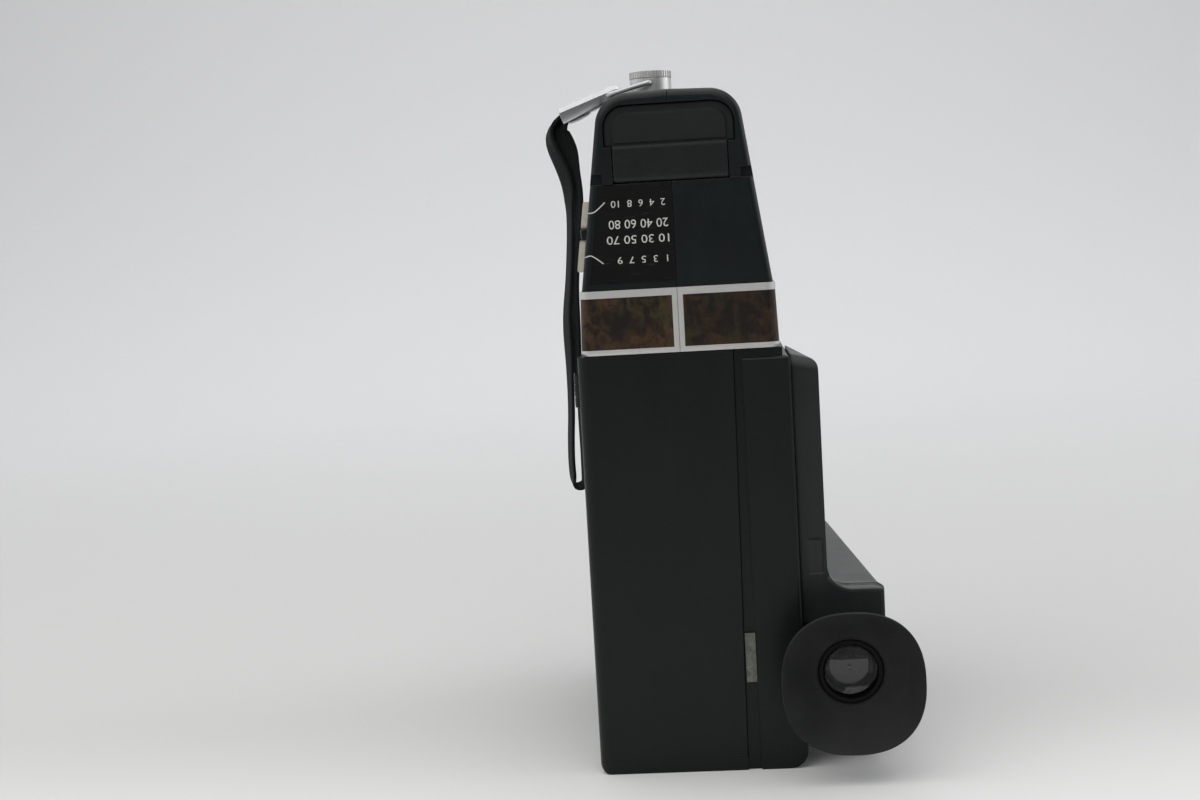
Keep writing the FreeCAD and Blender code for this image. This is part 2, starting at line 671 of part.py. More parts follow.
def body_shell():
    seat = WALL + DOOR_SEAT_GAP
    outer = body_block(0)
    shell = outer.cut(body_block(WALL))
    shell = shell.cut(door_field(REAR - PAST, ahead(seat), 0, 0))
    groove = box(DOOR_EDGE_LOW, GROOVE_RIGHT, REAR - PAST, ahead(GROOVE_DEPTH), -PAST, BODY_HEIGHT + PAST)
    side_end = HINGE_AHEAD + HINGE_BEAD_RADIUS + HINGE_BEAD_GAP
    side = box(BODY_LEFT - WALL, BODY_LEFT + WALL, REAR - PAST, ahead(side_end), DOOR_SILL, BODY_HEIGHT + PAST)
    strip_edge = edge_round(SHOULDER_REAR_RADIUS, BODY_RIGHT - GROOVE_RIGHT)
    strip_edge.translate(V(GROOVE_RIGHT, REAR, SHOULDER_Z))
    shell = shell.cut(side).cut(groove).cut(strip_edge)
    sill = outer.common(box(BODY_LEFT - PAST, DOOR_EDGE_LOW, REAR, ahead(side_end), 0, DOOR_SILL))
    jamb = box(JAMB_LEFT, GROOVE_RIGHT + WALL, ahead(seat), ahead(seat + JAMB_THICKNESS), WALL / 2, SHOULDER_Z - PAST)
    groove_floor = box(DOOR_EDGE_HIGH, GROOVE_RIGHT + WALL, ahead(GROOVE_DEPTH), ahead(seat), WALL / 2,
                       SHOULDER_Z - PAST)
    neck_end = NECK_SETBACK + NECK_DEPTH
    neck = box(SHOULDER_X, NECK_RIGHT, ahead(NECK_SETBACK), ahead(neck_end), SHOULDER_Z - PAST, BODY_HEIGHT)
    shell = shell.fuse([sill, jamb, groove_floor, neck])
    low, high = knuckle_leaves(KNUCKLE_RADIUS, 0)
    shell = shell.fuse([low, high])
    door_knuckle = hinge_rod(KNUCKLE_RADIUS + HINGE_BEAD_GAP, KNUCKLE_BOTTOM + KNUCKLE_LEAF,
                             KNUCKLE_TOP - KNUCKLE_LEAF)
    upper_pin = hinge_rod(HINGE_PIN_RADIUS, KNUCKLE_BOTTOM, KNUCKLE_TOP)
    lower_pin = hinge_rod(HINGE_PIN_RADIUS, LOWER_PIN_BOTTOM, LOWER_PIN_TOP)
    shell = shell.cut(door_knuckle).cut(upper_pin).cut(lower_pin)
    catch_notch = box(JAMB_LEFT - PAST, CATCH_RIGHT + LATCH_CLEARANCE, ahead(0), ahead(seat + JAMB_THICKNESS + PAST),
                      CATCH_BOTTOM - PAST, CATCH_TOP + PAST)
    stem_slot = box(LATCH_STEM_LEFT - LATCH_CLEARANCE, LATCH_STEM_RIGHT + LATCH_CLEARANCE, ahead(0),
                    ahead(seat + JAMB_THICKNESS + PAST), LATCH_STEM_BOTTOM - LATCH_TRAVEL - LATCH_CLEARANCE,
                    LATCH_STEM_TOP + LATCH_CLEARANCE)
    inside = FRONT - WALL - PAST
    through = WALL + 2 * PAST
    lens_hole = rod(BARREL_RADIUS + BARREL_HOLE_GAP, V(OPTIC_X, inside, OPTIC_Z), Y_AXIS, through)
    meter_hole = rod(METER_RADIUS, V(OPTIC_X, inside, METER_Z), Y_AXIS, through)
    return shell.cut([catch_notch, stem_slot, lens_hole, meter_hole]).removeSplitter()


def film_door():
    wall = body_block(0).cut(body_block(WALL))
    panel = wall.common(door_field(REAR - PAST, ahead(WALL), DOOR_GAP, DOOR_SILL_GAP))
    panel_top = BODY_HEIGHT - DOOR_GAP
    side = wall.common(box(BODY_LEFT - PAST, BODY_LEFT + WALL, REAR - PAST, ahead(HINGE_AHEAD),
                           DOOR_SILL + DOOR_SILL_GAP, panel_top))
    above = box(BODY_LEFT - PAST, GROOVE_RIGHT, REAR - PAST, ahead(HINGE_AHEAD), panel_top, BODY_HEIGHT + PAST)
    bead = hinge_rod(HINGE_BEAD_RADIUS, DOOR_SILL + DOOR_SILL_GAP, panel_top)
    door = panel.fuse([side, bead]).cut(above)
    low, high = knuckle_leaves(KNUCKLE_RADIUS + HINGE_BEAD_GAP, HINGE_BEAD_GAP)
    door = door.cut(low).cut(high)
    knuckle_low = KNUCKLE_BOTTOM + KNUCKLE_LEAF + HINGE_BEAD_GAP
    knuckle_high = KNUCKLE_TOP - KNUCKLE_LEAF - HINGE_BEAD_GAP
    door = door.fuse(hinge_rod(KNUCKLE_RADIUS, knuckle_low, knuckle_high))
    bore = HINGE_PIN_RADIUS + HINGE_PIN_FIT
    upper_bore = hinge_rod(bore, knuckle_low - PAST, knuckle_high + PAST)
    lower_bore = hinge_rod(bore, DOOR_SILL, LOWER_PIN_TOP + DOOR_GAP)
    catch = box(CATCH_LEFT, CATCH_RIGHT, ahead(WALL), ahead(WALL + CATCH_DEPTH), CATCH_BOTTOM, CATCH_TOP)
    return door.fuse(catch).cut(upper_bore).cut(lower_bore).removeSplitter()


def door_hinge_pins():
    upper = hinge_rod(HINGE_PIN_RADIUS, KNUCKLE_BOTTOM, KNUCKLE_TOP)
    lower = hinge_rod(HINGE_PIN_RADIUS, LOWER_PIN_BOTTOM, LOWER_PIN_TOP)
    return Part.makeCompound([upper, lower])


def film_door_spring():
    """Bowed leaf that presses the cartridge forward."""
    middle = OPTIC_Z + LEAF_SPRING_RISE
    left = -LEAF_SPRING_HALF_WIDTH
    low = middle - LEAF_SPRING_HALF_LENGTH
    high = middle + LEAF_SPRING_HALF_LENGTH
    foot = ahead(WALL)
    crest = foot + LEAF_SPRING_BOW
    low_inner = V(left, foot, low + LEAF_SPRING_FOOT)
    high_inner = V(left, foot, high - LEAF_SPRING_FOOT)
    edges = [
        Part.Arc(V(left, foot, low), V(left, crest + LEAF_SPRING_THICKNESS, middle), V(left, foot, high)).toShape(),
        Part.LineSegment(V(left, foot, high), high_inner).toShape(),
        Part.Arc(high_inner, V(left, crest, middle), low_inner).toShape(),
        Part.LineSegment(low_inner, V(left, foot, low)).toShape(),
    ]
    return Part.Face(Part.Wire(edges)).extrude(V(2 * LEAF_SPRING_HALF_WIDTH, 0, 0))


def latch_tab():
    rest = ahead(GROOVE_DEPTH - LATCH_CLEARANCE)
    tab_side = [
        (ahead(-LATCH_PROUD), LATCH_BOTTOM, LATCH_EDGE), (rest, LATCH_BOTTOM), (rest, LATCH_TOP),
        (ahead(-LATCH_PROUD), LATCH_TOP, LATCH_EDGE),
    ]
    tab = side_prism(tab_side, LATCH_LEFT, LATCH_RIGHT)
    bolt_face = WALL + DOOR_SEAT_GAP + JAMB_THICKNESS + LATCH_CLEARANCE
    stem = box(LATCH_STEM_LEFT, LATCH_STEM_RIGHT, rest - LATCH_ROOT, ahead(bolt_face + LATCH_ROOT),
               LATCH_STEM_BOTTOM, LATCH_STEM_TOP)
    bolt_left = CATCH_RIGHT + 2 * LATCH_CLEARANCE
    bolt = box(bolt_left, bolt_left + LATCH_BOLT_WIDTH, ahead(bolt_face), ahead(bolt_face + LATCH_BOLT_THICKNESS),
               LATCH_STEM_BOTTOM, LATCH_STEM_TOP)
    return tab.fuse([stem, bolt]).removeSplitter()


# Film chamber


def chamber_side(side):
    """X of a chamber wall's inner face; side is -1 on the left and 1 on the right."""
    return OPTIC_X + side * CHAMBER_WIDTH / 2


def film_chamber():
    face_end = CHAMBER_FACE_AHEAD + CHAMBER_WALL
    gate_wall = CHAMBER_FACE_AHEAD + CHAMBER_DEPTH
    face = box(CHAMBER_FACE_LEFT, CHAMBER_FACE_RIGHT, ahead(CHAMBER_FACE_AHEAD), ahead(face_end),
               CHAMBER_FACE_BOTTOM, CHAMBER_FACE_TOP)
    catch_relief = box(CATCH_LEFT - PAST, CHAMBER_FACE_RIGHT + PAST, ahead(0), ahead(face_end + PAST),
                       CATCH_BOTTOM - PAST, CATCH_TOP + PAST)
    sleeve = box(chamber_side(-1) - CHAMBER_WALL, chamber_side(1) + CHAMBER_WALL, ahead(CHAMBER_FACE_AHEAD),
                 ahead(gate_wall + CHAMBER_WALL), CHAMBER_BOTTOM - CHAMBER_WALL, CHAMBER_TOP + CHAMBER_WALL)
    hollow = box(chamber_side(-1), chamber_side(1), ahead(0), ahead(gate_wall), CHAMBER_BOTTOM, CHAMBER_TOP)
    light_hole = rod(GATE_HOLE_RADIUS, V(OPTIC_X, ahead(gate_wall - PAST), OPTIC_Z), Y_AXIS,
                     CHAMBER_WALL + 2 * PAST)
    capstan_hole = rod(CAPSTAN_RADIUS + SPINDLE_FIT, V(0, ahead(CAPSTAN_AHEAD), CAPSTAN_Z), X_AXIS, CHAMBER_WIDTH)
    take_up_hole = rod(TAKE_UP_SHAFT_RADIUS + SPINDLE_FIT, V(0, ahead(TAKE_UP_AHEAD), OPTIC_Z), X_AXIS,
                       CHAMBER_WIDTH)
    chamber = face.cut(catch_relief).fuse(sleeve).cut(hollow)
    return chamber.cut([light_hole, capstan_hole, take_up_hole]).removeSplitter()


def film_gate():
    wall = CHAMBER_FACE_AHEAD + CHAMBER_DEPTH
    plate = box(OPTIC_X - GATE_HALF_WIDTH, OPTIC_X + GATE_HALF_WIDTH, ahead(wall - GATE_THICKNESS), ahead(wall),
                OPTIC_Z - GATE_HALF_HEIGHT, OPTIC_Z + GATE_HALF_HEIGHT)
    rails = []
    for side in (-1, 1):
        x = OPTIC_X + side * GATE_RAIL_X
        rails.append(box(x - GATE_RAIL_WIDTH / 2, x + GATE_RAIL_WIDTH / 2,
                         ahead(wall - GATE_THICKNESS - GATE_RAIL_HEIGHT), ahead(wall - GATE_THICKNESS / 2),
                         OPTIC_Z - GATE_HALF_HEIGHT + GATE_RAIL_WIDTH,
                         OPTIC_Z + GATE_HALF_HEIGHT - GATE_RAIL_WIDTH))
    aperture = box(OPTIC_X - APERTURE_WIDTH / 2, OPTIC_X + APERTURE_WIDTH / 2, ahead(wall - GATE_THICKNESS - PAST),
                   ahead(wall + PAST), OPTIC_Z - APERTURE_HEIGHT / 2, OPTIC_Z + APERTURE_HEIGHT / 2)
    return plate.fuse(rails).cut(aperture).removeSplitter()


def sound_head():
    wall = CHAMBER_FACE_AHEAD + CHAMBER_DEPTH
    nose = SOUND_HEAD_HEIGHT / 2
    corners = [
        (ahead(wall), SOUND_HEAD_Z), (ahead(wall), SOUND_HEAD_Z + SOUND_HEAD_HEIGHT),
        (ahead(wall - SOUND_HEAD_DEPTH), SOUND_HEAD_Z + SOUND_HEAD_HEIGHT, nose * 0.8),
        (ahead(wall - SOUND_HEAD_DEPTH), SOUND_HEAD_Z, nose * 0.8),
    ]
    return side_prism(corners, OPTIC_X - SOUND_HEAD_WIDTH / 2, OPTIC_X + SOUND_HEAD_WIDTH / 2)


def capstan():
    plate = chamber_side(1) + CHAMBER_WALL + PLATE_GAP
    return rod(CAPSTAN_RADIUS, V(CAPSTAN_LEFT, ahead(CAPSTAN_AHEAD), CAPSTAN_Z), X_AXIS, plate - CAPSTAN_LEFT)


def flywheel():
    plate = chamber_side(1) + CHAMBER_WALL + PLATE_GAP
    start = V(plate, ahead(CAPSTAN_AHEAD), CAPSTAN_Z)
    disc = rod(FLYWHEEL_RADIUS, start, X_AXIS, FLYWHEEL_THICKNESS)
    dish = rod(FLYWHEEL_RADIUS - FLYWHEEL_RIM, start + X_AXIS * (FLYWHEEL_THICKNESS / 2), X_AXIS, FLYWHEEL_THICKNESS)
    hub = rod(FLYWHEEL_HUB_RADIUS, start, X_AXIS, FLYWHEEL_THICKNESS)
    return disc.cut(dish).fuse(hub).removeSplitter()


def pinch_axis():
    reach = CAPSTAN_RADIUS + PINCH_NIP + PINCH_RADIUS
    return ahead(CAPSTAN_AHEAD - reach), CAPSTAN_Z


def pinch_roller():
    y, z = pinch_axis()
    roller = rod(PINCH_RADIUS, V(PINCH_LEFT, y, z), X_AXIS, PINCH_LENGTH)
    return roller.cut(rod(PINCH_PIN_RADIUS + PINCH_PIN_FIT, V(PINCH_LEFT - PAST, y, z), X_AXIS,
                          PINCH_LENGTH + 2 * PAST))


def pinch_pin():
    y, z = pinch_axis()
    wall = chamber_side(-1)
    pin = rod(PINCH_PIN_RADIUS, V(wall, y, z), X_AXIS, PINCH_LEFT + PINCH_LENGTH + PINCH_PIN_RADIUS - wall)
    boss = rod(PINCH_PIN_RADIUS * 2.5, V(wall, y, z), X_AXIS, PINCH_LEFT - wall - PLATE_GAP)
    return pin.fuse(boss).removeSplitter()


def take_up_spindle():
    wall = chamber_side(1)
    centre = V(wall - TAKE_UP_REACH, ahead(TAKE_UP_AHEAD), OPTIC_Z)
    hub = rod(TAKE_UP_RADIUS, centre, X_AXIS, TAKE_UP_REACH - PLATE_GAP)
    prong = box(centre.x, wall - PLATE_GAP, centre.y + TAKE_UP_RADIUS - TAKE_UP_PRONG_ROOT,
                centre.y + TAKE_UP_RADIUS + TAKE_UP_PRONG_REACH, centre.z - TAKE_UP_PRONG_HALF,
                centre.z + TAKE_UP_PRONG_HALF)
    shaft = rod(TAKE_UP_SHAFT_RADIUS, centre, X_AXIS, TAKE_UP_REACH + CHAMBER_WALL + PLATE_GAP)
    return hub.fuse(around(prong, TAKE_UP_PRONGS, centre, X_AXIS) + [shaft]).removeSplitter()


def take_up_gear():
    start = V(chamber_side(1) + CHAMBER_WALL + PLATE_GAP, ahead(TAKE_UP_AHEAD), OPTIC_Z)
    blank = rod(TAKE_UP_GEAR_RADIUS, start, X_AXIS, TAKE_UP_GEAR_THICKNESS)
    pitch = math.pi * TAKE_UP_GEAR_RADIUS / TAKE_UP_GEAR_TEETH
    gap = box(start.x - PAST, start.x + TAKE_UP_GEAR_THICKNESS + PAST, start.y + TAKE_UP_GEAR_RADIUS - pitch,
              start.y + TAKE_UP_GEAR_RADIUS + PAST, start.z - pitch / 2, start.z + pitch / 2)
    return blank.cut(around(gap, TAKE_UP_GEAR_TEETH, start, X_AXIS))


def drive_motor():
    x = chamber_side(1) + CHAMBER_WALL + PLATE_GAP + MOTOR_RADIUS
    base = V(x, ahead(MOTOR_AHEAD), MOTOR_BOTTOM)
    can = rod(MOTOR_RADIUS, base, Z_AXIS, MOTOR_LENGTH)
    shaft = rod(MOTOR_SHAFT_RADIUS, base - Z_AXIS * MOTOR_SHAFT_LENGTH, Z_AXIS, MOTOR_SHAFT_LENGTH)
    boss = rod(MOTOR_BOSS_RADIUS, base - Z_AXIS * MOTOR_BOSS_HEIGHT, Z_AXIS, MOTOR_BOSS_HEIGHT)
    return can.fuse([shaft, boss]).removeSplitter()


def circuit_board():
    inner = BODY_RIGHT - WALL
    board = box(inner - BOARD_STANDOFF - BOARD_THICKNESS, inner - BOARD_STANDOFF, ahead(BOARD_AHEAD),
                ahead(BOARD_AHEAD + BOARD_LENGTH), BOARD_BOTTOM, BOARD_TOP)
    posts = []
    for y in (ahead(BOARD_AHEAD + BOARD_POST_INSET), ahead(BOARD_AHEAD + BOARD_LENGTH - BOARD_POST_INSET)):
        for z in (BOARD_BOTTOM + BOARD_POST_INSET, BOARD_TOP - BOARD_POST_INSET):
            posts.append(rod(BOARD_POST_RADIUS, V(inner - BOARD_STANDOFF, y, z), X_AXIS, BOARD_STANDOFF))
    return board.fuse(posts).removeSplitter()


# Lens and front


def front_plate():
    left = BODY_LEFT + FRONT_PLATE_INSET
    right = BODY_RIGHT - FRONT_PLATE_INSET
    corners = [
        (left, FRONT_PLATE_INSET, FRONT_PLATE_RADIUS), (right, FRONT_PLATE_INSET, FRONT_PLATE_RADIUS),
        (right, SHOULDER_Z - FRONT_PLATE_INSET, FRONT_PLATE_RADIUS),
        (left, SHOULDER_Z - FRONT_PLATE_INSET, FRONT_PLATE_RADIUS),
    ]
    plate = rear_prism(corners, FRONT, FRONT + FRONT_PLATE_THICKNESS)
    through = FRONT_PLATE_THICKNESS + 2 * PAST
    lens_hole = rod(BARREL_RADIUS + BARREL_HOLE_GAP, V(OPTIC_X, FRONT - PAST, OPTIC_Z), Y_AXIS, through)
    meter_hole = rod(METER_RADIUS, V(OPTIC_X, FRONT - PAST, METER_Z), Y_AXIS, through)
    return plate.cut([lens_hole, meter_hole])


def crown_point(radius, crown, reach):
    """Height of a spherical crown above its rim, at a distance from its axis."""
    sphere = (radius ** 2 + crown ** 2) / (2 * crown)
    return math.sqrt(sphere ** 2 - reach ** 2) - (sphere - crown)


def lens_barrel():
    wall_inner = BODY_DEPTH - WALL
    filter_seat = BARREL_FRONT_AHEAD - FILTER_DEPTH
    stop = FRONT_LENS_RADIUS - LENS_SEAT
    bulge = crown_point(FRONT_LENS_RADIUS, FRONT_LENS_CROWN / 2, stop)
    lens_rear = BARREL_FRONT_AHEAD - FRONT_LENS_SETBACK - FRONT_LENS_EDGE - bulge
    corners = [
        (BARREL_BORE_REAR, BARREL_REAR_AHEAD), (BARREL_RADIUS - BARREL_REAR_TAPER, BARREL_REAR_AHEAD),
        (BARREL_RADIUS, BARREL_REAR_AHEAD + BARREL_TAPER_LENGTH),
        (BARREL_RADIUS, wall_inner - BARREL_FLANGE_THICKNESS),
        (BARREL_FLANGE_RADIUS, wall_inner - BARREL_FLANGE_THICKNESS), (BARREL_FLANGE_RADIUS, wall_inner),
        (BARREL_RADIUS, wall_inner), (BARREL_RADIUS, BARREL_FRONT_AHEAD - BARREL_LIP_LENGTH),
        (BARREL_LIP_RADIUS, BARREL_FRONT_AHEAD - BARREL_LIP_LENGTH), (BARREL_LIP_RADIUS, BARREL_FRONT_AHEAD),
        (FILTER_RADIUS, BARREL_FRONT_AHEAD), (FILTER_RADIUS, filter_seat), (FRONT_LENS_RADIUS, filter_seat),
        (FRONT_LENS_RADIUS, lens_rear), (stop, lens_rear),
    ]
    return turned(corners, V(OPTIC_X, 0, OPTIC_Z))


def lens_element(radius, rear, edge, rear_crown, front_crown, centre):
    """Biconvex element: a disc with a spherical face at each end."""
    def point(reach, depth):
        return V(centre.x + reach, ahead(depth), centre.z)
    half = radius / 2
    low = point(0, rear - rear_crown)
    low_middle = point(half, rear - crown_point(radius, rear_crown, half))
    low_edge = point(radius, rear)
    high_edge = point(radius, rear + edge)
    high_middle = point(half, rear + edge + crown_point(radius, front_crown, half))
    high = point(0, rear + edge + front_crown)
    edges = [
        Part.Arc(low, low_middle, low_edge).toShape(), Part.LineSegment(low_edge, high_edge).toShape(),
        Part.Arc(high_edge, high_middle, high).toShape(), Part.LineSegment(high, low).toShape(),
    ]
    return Part.Face(Part.Wire(edges)).revolve(V(centre.x, 0, centre.z), Y_AXIS, 360)


def front_lens():
    rear = BARREL_FRONT_AHEAD - FRONT_LENS_SETBACK - FRONT_LENS_EDGE
    return lens_element(FRONT_LENS_RADIUS, rear, FRONT_LENS_EDGE, FRONT_LENS_CROWN / 2, FRONT_LENS_CROWN,
                        V(OPTIC_X, 0, OPTIC_Z))


def focus_ring():
    front = BARREL_FRONT_AHEAD - BARREL_LIP_LENGTH - FOCUS_RING_GAP
    rear = front - FOCUS_RING_LENGTH
    bore = BARREL_RADIUS + FOCUS_RING_FIT
    corners = [
        (bore, rear), (FOCUS_RING_RADIUS, rear, FOCUS_RING_EDGE),
        (FOCUS_RING_RADIUS, front, FOCUS_RING_EDGE), (bore, front),
    ]
    ring = turned(corners, V(OPTIC_X, 0, OPTIC_Z))
    flute_x = OPTIC_X + FOCUS_RING_RADIUS + FOCUS_FLUTE_RADIUS / 3
    flute = rod(FOCUS_FLUTE_RADIUS, V(flute_x, ahead(rear + FOCUS_FLUTE_MARGIN), OPTIC_Z), Y_AXIS,
                FOCUS_RING_LENGTH - 2 * FOCUS_FLUTE_MARGIN)
    return ring.cut(around(flute, FOCUS_FLUTE_COUNT, V(OPTIC_X, 0, OPTIC_Z), Y_AXIS))


def meter_window():
    depth = WALL + FRONT_PLATE_THICKNESS
    cell = rod(METER_RADIUS, V(OPTIC_X, FRONT - WALL, METER_Z), Y_AXIS, depth)
    glass = FRONT + FRONT_PLATE_THICKNESS - METER_GLASS_SUNK
    return cell.cut(rod(METER_RADIUS - METER_RIM, V(OPTIC_X, glass, METER_Z), Y_AXIS, METER_GLASS_SUNK + PAST))


# Finder


def finder_right(depth):
    """X of the housing's tapering right side at a depth."""
    share = (depth - FINDER_ARM_AHEAD) / (FINDER_LENGTH - FINDER_ARM_AHEAD)
    return FINDER_RIGHT_REAR + (FINDER_RIGHT_FRONT - FINDER_RIGHT_REAR) * share


def finder_leg_section(depth):
    right = finder_right(depth)
    corners = [
        (BODY_RIGHT, FINDER_LEG_BOTTOM), (right, FINDER_LEG_BOTTOM), (right, FINDER_LEG_TOP, FINDER_LEG_EDGE_RADIUS),
        (BODY_RIGHT, FINDER_LEG_TOP),
    ]
    return rear_outline(corners, ahead(depth))


def finder_box_section(depth):
    right = finder_right(depth) - FINDER_STEP
    corners = [
        (BODY_RIGHT, FINDER_BOX_BOTTOM), (right, FINDER_BOX_BOTTOM, FINDER_BOX_EDGE_RADIUS),
        (right, FINDER_LEG_BOTTOM), (BODY_RIGHT, FINDER_LEG_BOTTOM),
    ]
    return rear_outline(corners, ahead(depth))


def finder_arm_section(depth, width, edge):
    """Arm with a roof that falls outwards."""
    right = BODY_RIGHT + width
    roof = SHOULDER_Z - FINDER_ARM_FALL * width / FINDER_ARM_WIDTH
    corners = [
        (BODY_RIGHT, FINDER_LEG_BOTTOM + PAST), (right, FINDER_LEG_BOTTOM + PAST), (right, roof, edge),
        (BODY_RIGHT, SHOULDER_Z),
    ]
    return rear_outline(corners, ahead(depth))


def finder_arm():
    arm = loft([finder_arm_section(FINDER_ARM_AHEAD, FINDER_ARM_WIDTH, FINDER_ARM_EDGE_RADIUS),
                finder_arm_section(FINDER_ARM_END, FINDER_ARM_END_WIDTH, FINDER_ARM_END_EDGE)])
    roof_edge = edge_round(FINDER_ARM_REAR_RADIUS, math.hypot(FINDER_ARM_WIDTH, FINDER_ARM_FALL))
    roof_edge.rotate(V(0, 0, 0), Y_AXIS, math.degrees(math.atan2(FINDER_ARM_FALL, FINDER_ARM_WIDTH)))
    roof_edge.translate(V(BODY_RIGHT, ahead(FINDER_ARM_AHEAD), SHOULDER_Z))
    return arm.cut(roof_edge)


def finder_armpit_section(depth, right, reach):
    """Filler of the inside corner between arm and leg, with a hollow curve."""
    y = ahead(depth)
    low = FINDER_LEG_TOP
    hollow = reach * (1 - math.sqrt(0.5))
    root = FINDER_ARMPIT_ROOT
    top = V(right, y, low + reach)
    toe = V(right + reach, y, low)
    edges = [
        Part.Arc(top, V(right + hollow, y, low + hollow), toe).toShape(),
        Part.LineSegment(toe, V(right + reach, y, low - root)).toShape(),
        Part.LineSegment(V(right + reach, y, low - root), V(right - root, y, low - root)).toShape(),
        Part.LineSegment(V(right - root, y, low - root), V(right - root, y, low + reach)).toShape(),
        Part.LineSegment(V(right - root, y, low + reach), top).toShape(),
    ]
    return Part.Wire(edges)


def finder_housing():
    arm_end = BODY_RIGHT + FINDER_ARM_END_WIDTH
    leg = loft([finder_leg_section(FINDER_ARM_AHEAD), finder_leg_section(FINDER_LENGTH)])
    lower = loft([finder_box_section(FINDER_BOX_AHEAD), finder_box_section(FINDER_LENGTH)])
    armpit = loft([finder_armpit_section(FINDER_ARM_AHEAD, FINDER_ARM_RIGHT, FINDER_ARMPIT_RADIUS),
                   finder_armpit_section(FINDER_ARM_END, arm_end, FINDER_ARMPIT_END_RADIUS)])
    housing = leg.fuse([lower, finder_arm(), armpit])
    eye_bore = rod(EYE_TUBE_RADIUS, V(EYE_X, ahead(0), EYE_Z), Y_AXIS, FINDER_BOX_AHEAD + EYE_BORE_DEPTH)
    window = box(FINDER_WINDOW_LEFT, FINDER_WINDOW_RIGHT, ahead(FINDER_LENGTH - FINDER_WINDOW_DEPTH),
                 ahead(FINDER_LENGTH + PAST), FINDER_WINDOW_BOTTOM, FINDER_WINDOW_TOP)
    counter = box(COUNTER_LEFT, COUNTER_RIGHT, ahead(FINDER_ARM_AHEAD - PAST),
                  ahead(FINDER_ARM_AHEAD + COUNTER_DEPTH), COUNTER_BOTTOM, COUNTER_TOP)
    return housing.cut([eye_bore, window, counter]).removeSplitter()


def finder_window():
    rear = FINDER_LENGTH - FINDER_WINDOW_DEPTH
    return box(FINDER_WINDOW_LEFT, FINDER_WINDOW_RIGHT, ahead(rear), ahead(rear + FINDER_GLASS_THICKNESS),
               FINDER_WINDOW_BOTTOM, FINDER_WINDOW_TOP)


def counter_window():
    front = FINDER_ARM_AHEAD + COUNTER_DEPTH
    return box(COUNTER_LEFT, COUNTER_RIGHT, ahead(front - COUNTER_GLASS_THICKNESS), ahead(front), COUNTER_BOTTOM,
               COUNTER_TOP)


def eyepiece_tube():
    front = FINDER_BOX_AHEAD + EYE_BORE_DEPTH
    stop = EYE_TUBE_BORE - LENS_SEAT
    bulge = crown_point(EYE_TUBE_BORE, EYE_LENS_CROWN / 2, stop)
    lens_front = EYE_LENS_REAR + EYE_LENS_EDGE + bulge
    corners = [
        (EYE_TUBE_BORE, EYE_TUBE_REAR), (EYE_TUBE_RADIUS, EYE_TUBE_REAR, EYE_TUBE_EDGE), (EYE_TUBE_RADIUS, front),
        (stop, front), (stop, lens_front), (EYE_TUBE_BORE, lens_front),
    ]
    return turned(corners, V(EYE_X, 0, EYE_Z))


def eye_lens():
    return lens_element(EYE_TUBE_BORE, EYE_LENS_REAR, EYE_LENS_EDGE, EYE_LENS_CROWN, EYE_LENS_CROWN / 2,
                        V(EYE_X, 0, EYE_Z))


def eyecup_ring(radius, depth):
    """Circle of the flared cup; the flare sags towards its rim."""
    share = max((EYE_TUBE_REAR - EYECUP_LIP_GAP - depth) / (EYE_TUBE_REAR - EYECUP_LIP_GAP - EYECUP_RIM_REAR), 0)
    centre = V(EYE_X, ahead(depth), EYE_Z - EYECUP_RIM_DROP * share)
    return Part.Wire(Part.makeCircle(radius, centre, Y_AXIS))


def eyecup():
    bore = EYE_TUBE_RADIUS + EYECUP_FIT
    front = FINDER_BOX_AHEAD - PLATE_GAP
    lip = EYE_TUBE_REAR - EYECUP_LIP_GAP
    rim = EYECUP_RIM_RADIUS
    rear = EYECUP_RIM_REAR
    turn = EYECUP_RIM_ROUND
    sleeve_corners = [
        (bore, front), (bore, lip), (EYECUP_SLEEVE_RADIUS - EYECUP_LIP, lip),
        (EYECUP_SLEEVE_RADIUS, lip + EYECUP_LIP), (EYECUP_SLEEVE_RADIUS, front),
    ]
    sleeve = turned(sleeve_corners, V(EYE_X, 0, EYE_Z))
    outer = loft([
        eyecup_ring(EYECUP_SLEEVE_RADIUS, EYECUP_SLEEVE_REAR + EYECUP_FOOT_ROUND),
        eyecup_ring(EYECUP_SLEEVE_RADIUS + EYECUP_LIP, EYECUP_SLEEVE_REAR - EYECUP_LIP / 2),
        eyecup_ring(rim, rear + EYECUP_THICKNESS), eyecup_ring(rim, rear + turn),
        eyecup_ring(rim - turn / 4, rear + turn / 4), eyecup_ring(rim - turn, rear),
    ])
    inner = loft([
        eyecup_ring(bore, EYECUP_SLEEVE_REAR + EYECUP_FOOT_ROUND), eyecup_ring(bore, lip),
        eyecup_ring(bore + EYECUP_LIP, lip - EYECUP_LIP), eyecup_ring(rim - 2 * turn, rear),
        eyecup_ring(rim - turn, rear - turn),
    ])
    return outer.cut(inner).fuse(sleeve).removeSplitter()


# Trim band


def band_half(z):
    share = (z - BAND_BOTTOM) / BAND_HEIGHT
    return BAND_HALF_LOW + (BAND_HALF_HIGH - BAND_HALF_LOW) * share


def band_section(z, inset):
    half = band_half(z) - inset
    rear = ahead(-BAND_PROUD) + inset
    front = ahead(BAND_LENGTH - BAND_PROUD) - inset
    radius = BAND_EDGE_RADIUS - inset
    corners = [(-half, rear, radius), (half, rear, radius), (half, front, radius), (-half, front, radius)]
    return plan_outline(corners, z)


def band_block(inset, z0, z1):
    return loft([band_section(z0, inset), band_section(z1, inset)])


def half_space(side, gap):
    """Everything on one side of the seam plane, less a gap."""
    size = 2 * BODY_DEPTH
    if side < 0:
        return box(-size, -gap, -size, size, 0, size)
    return box(gap, size, -size, size, 0, size)


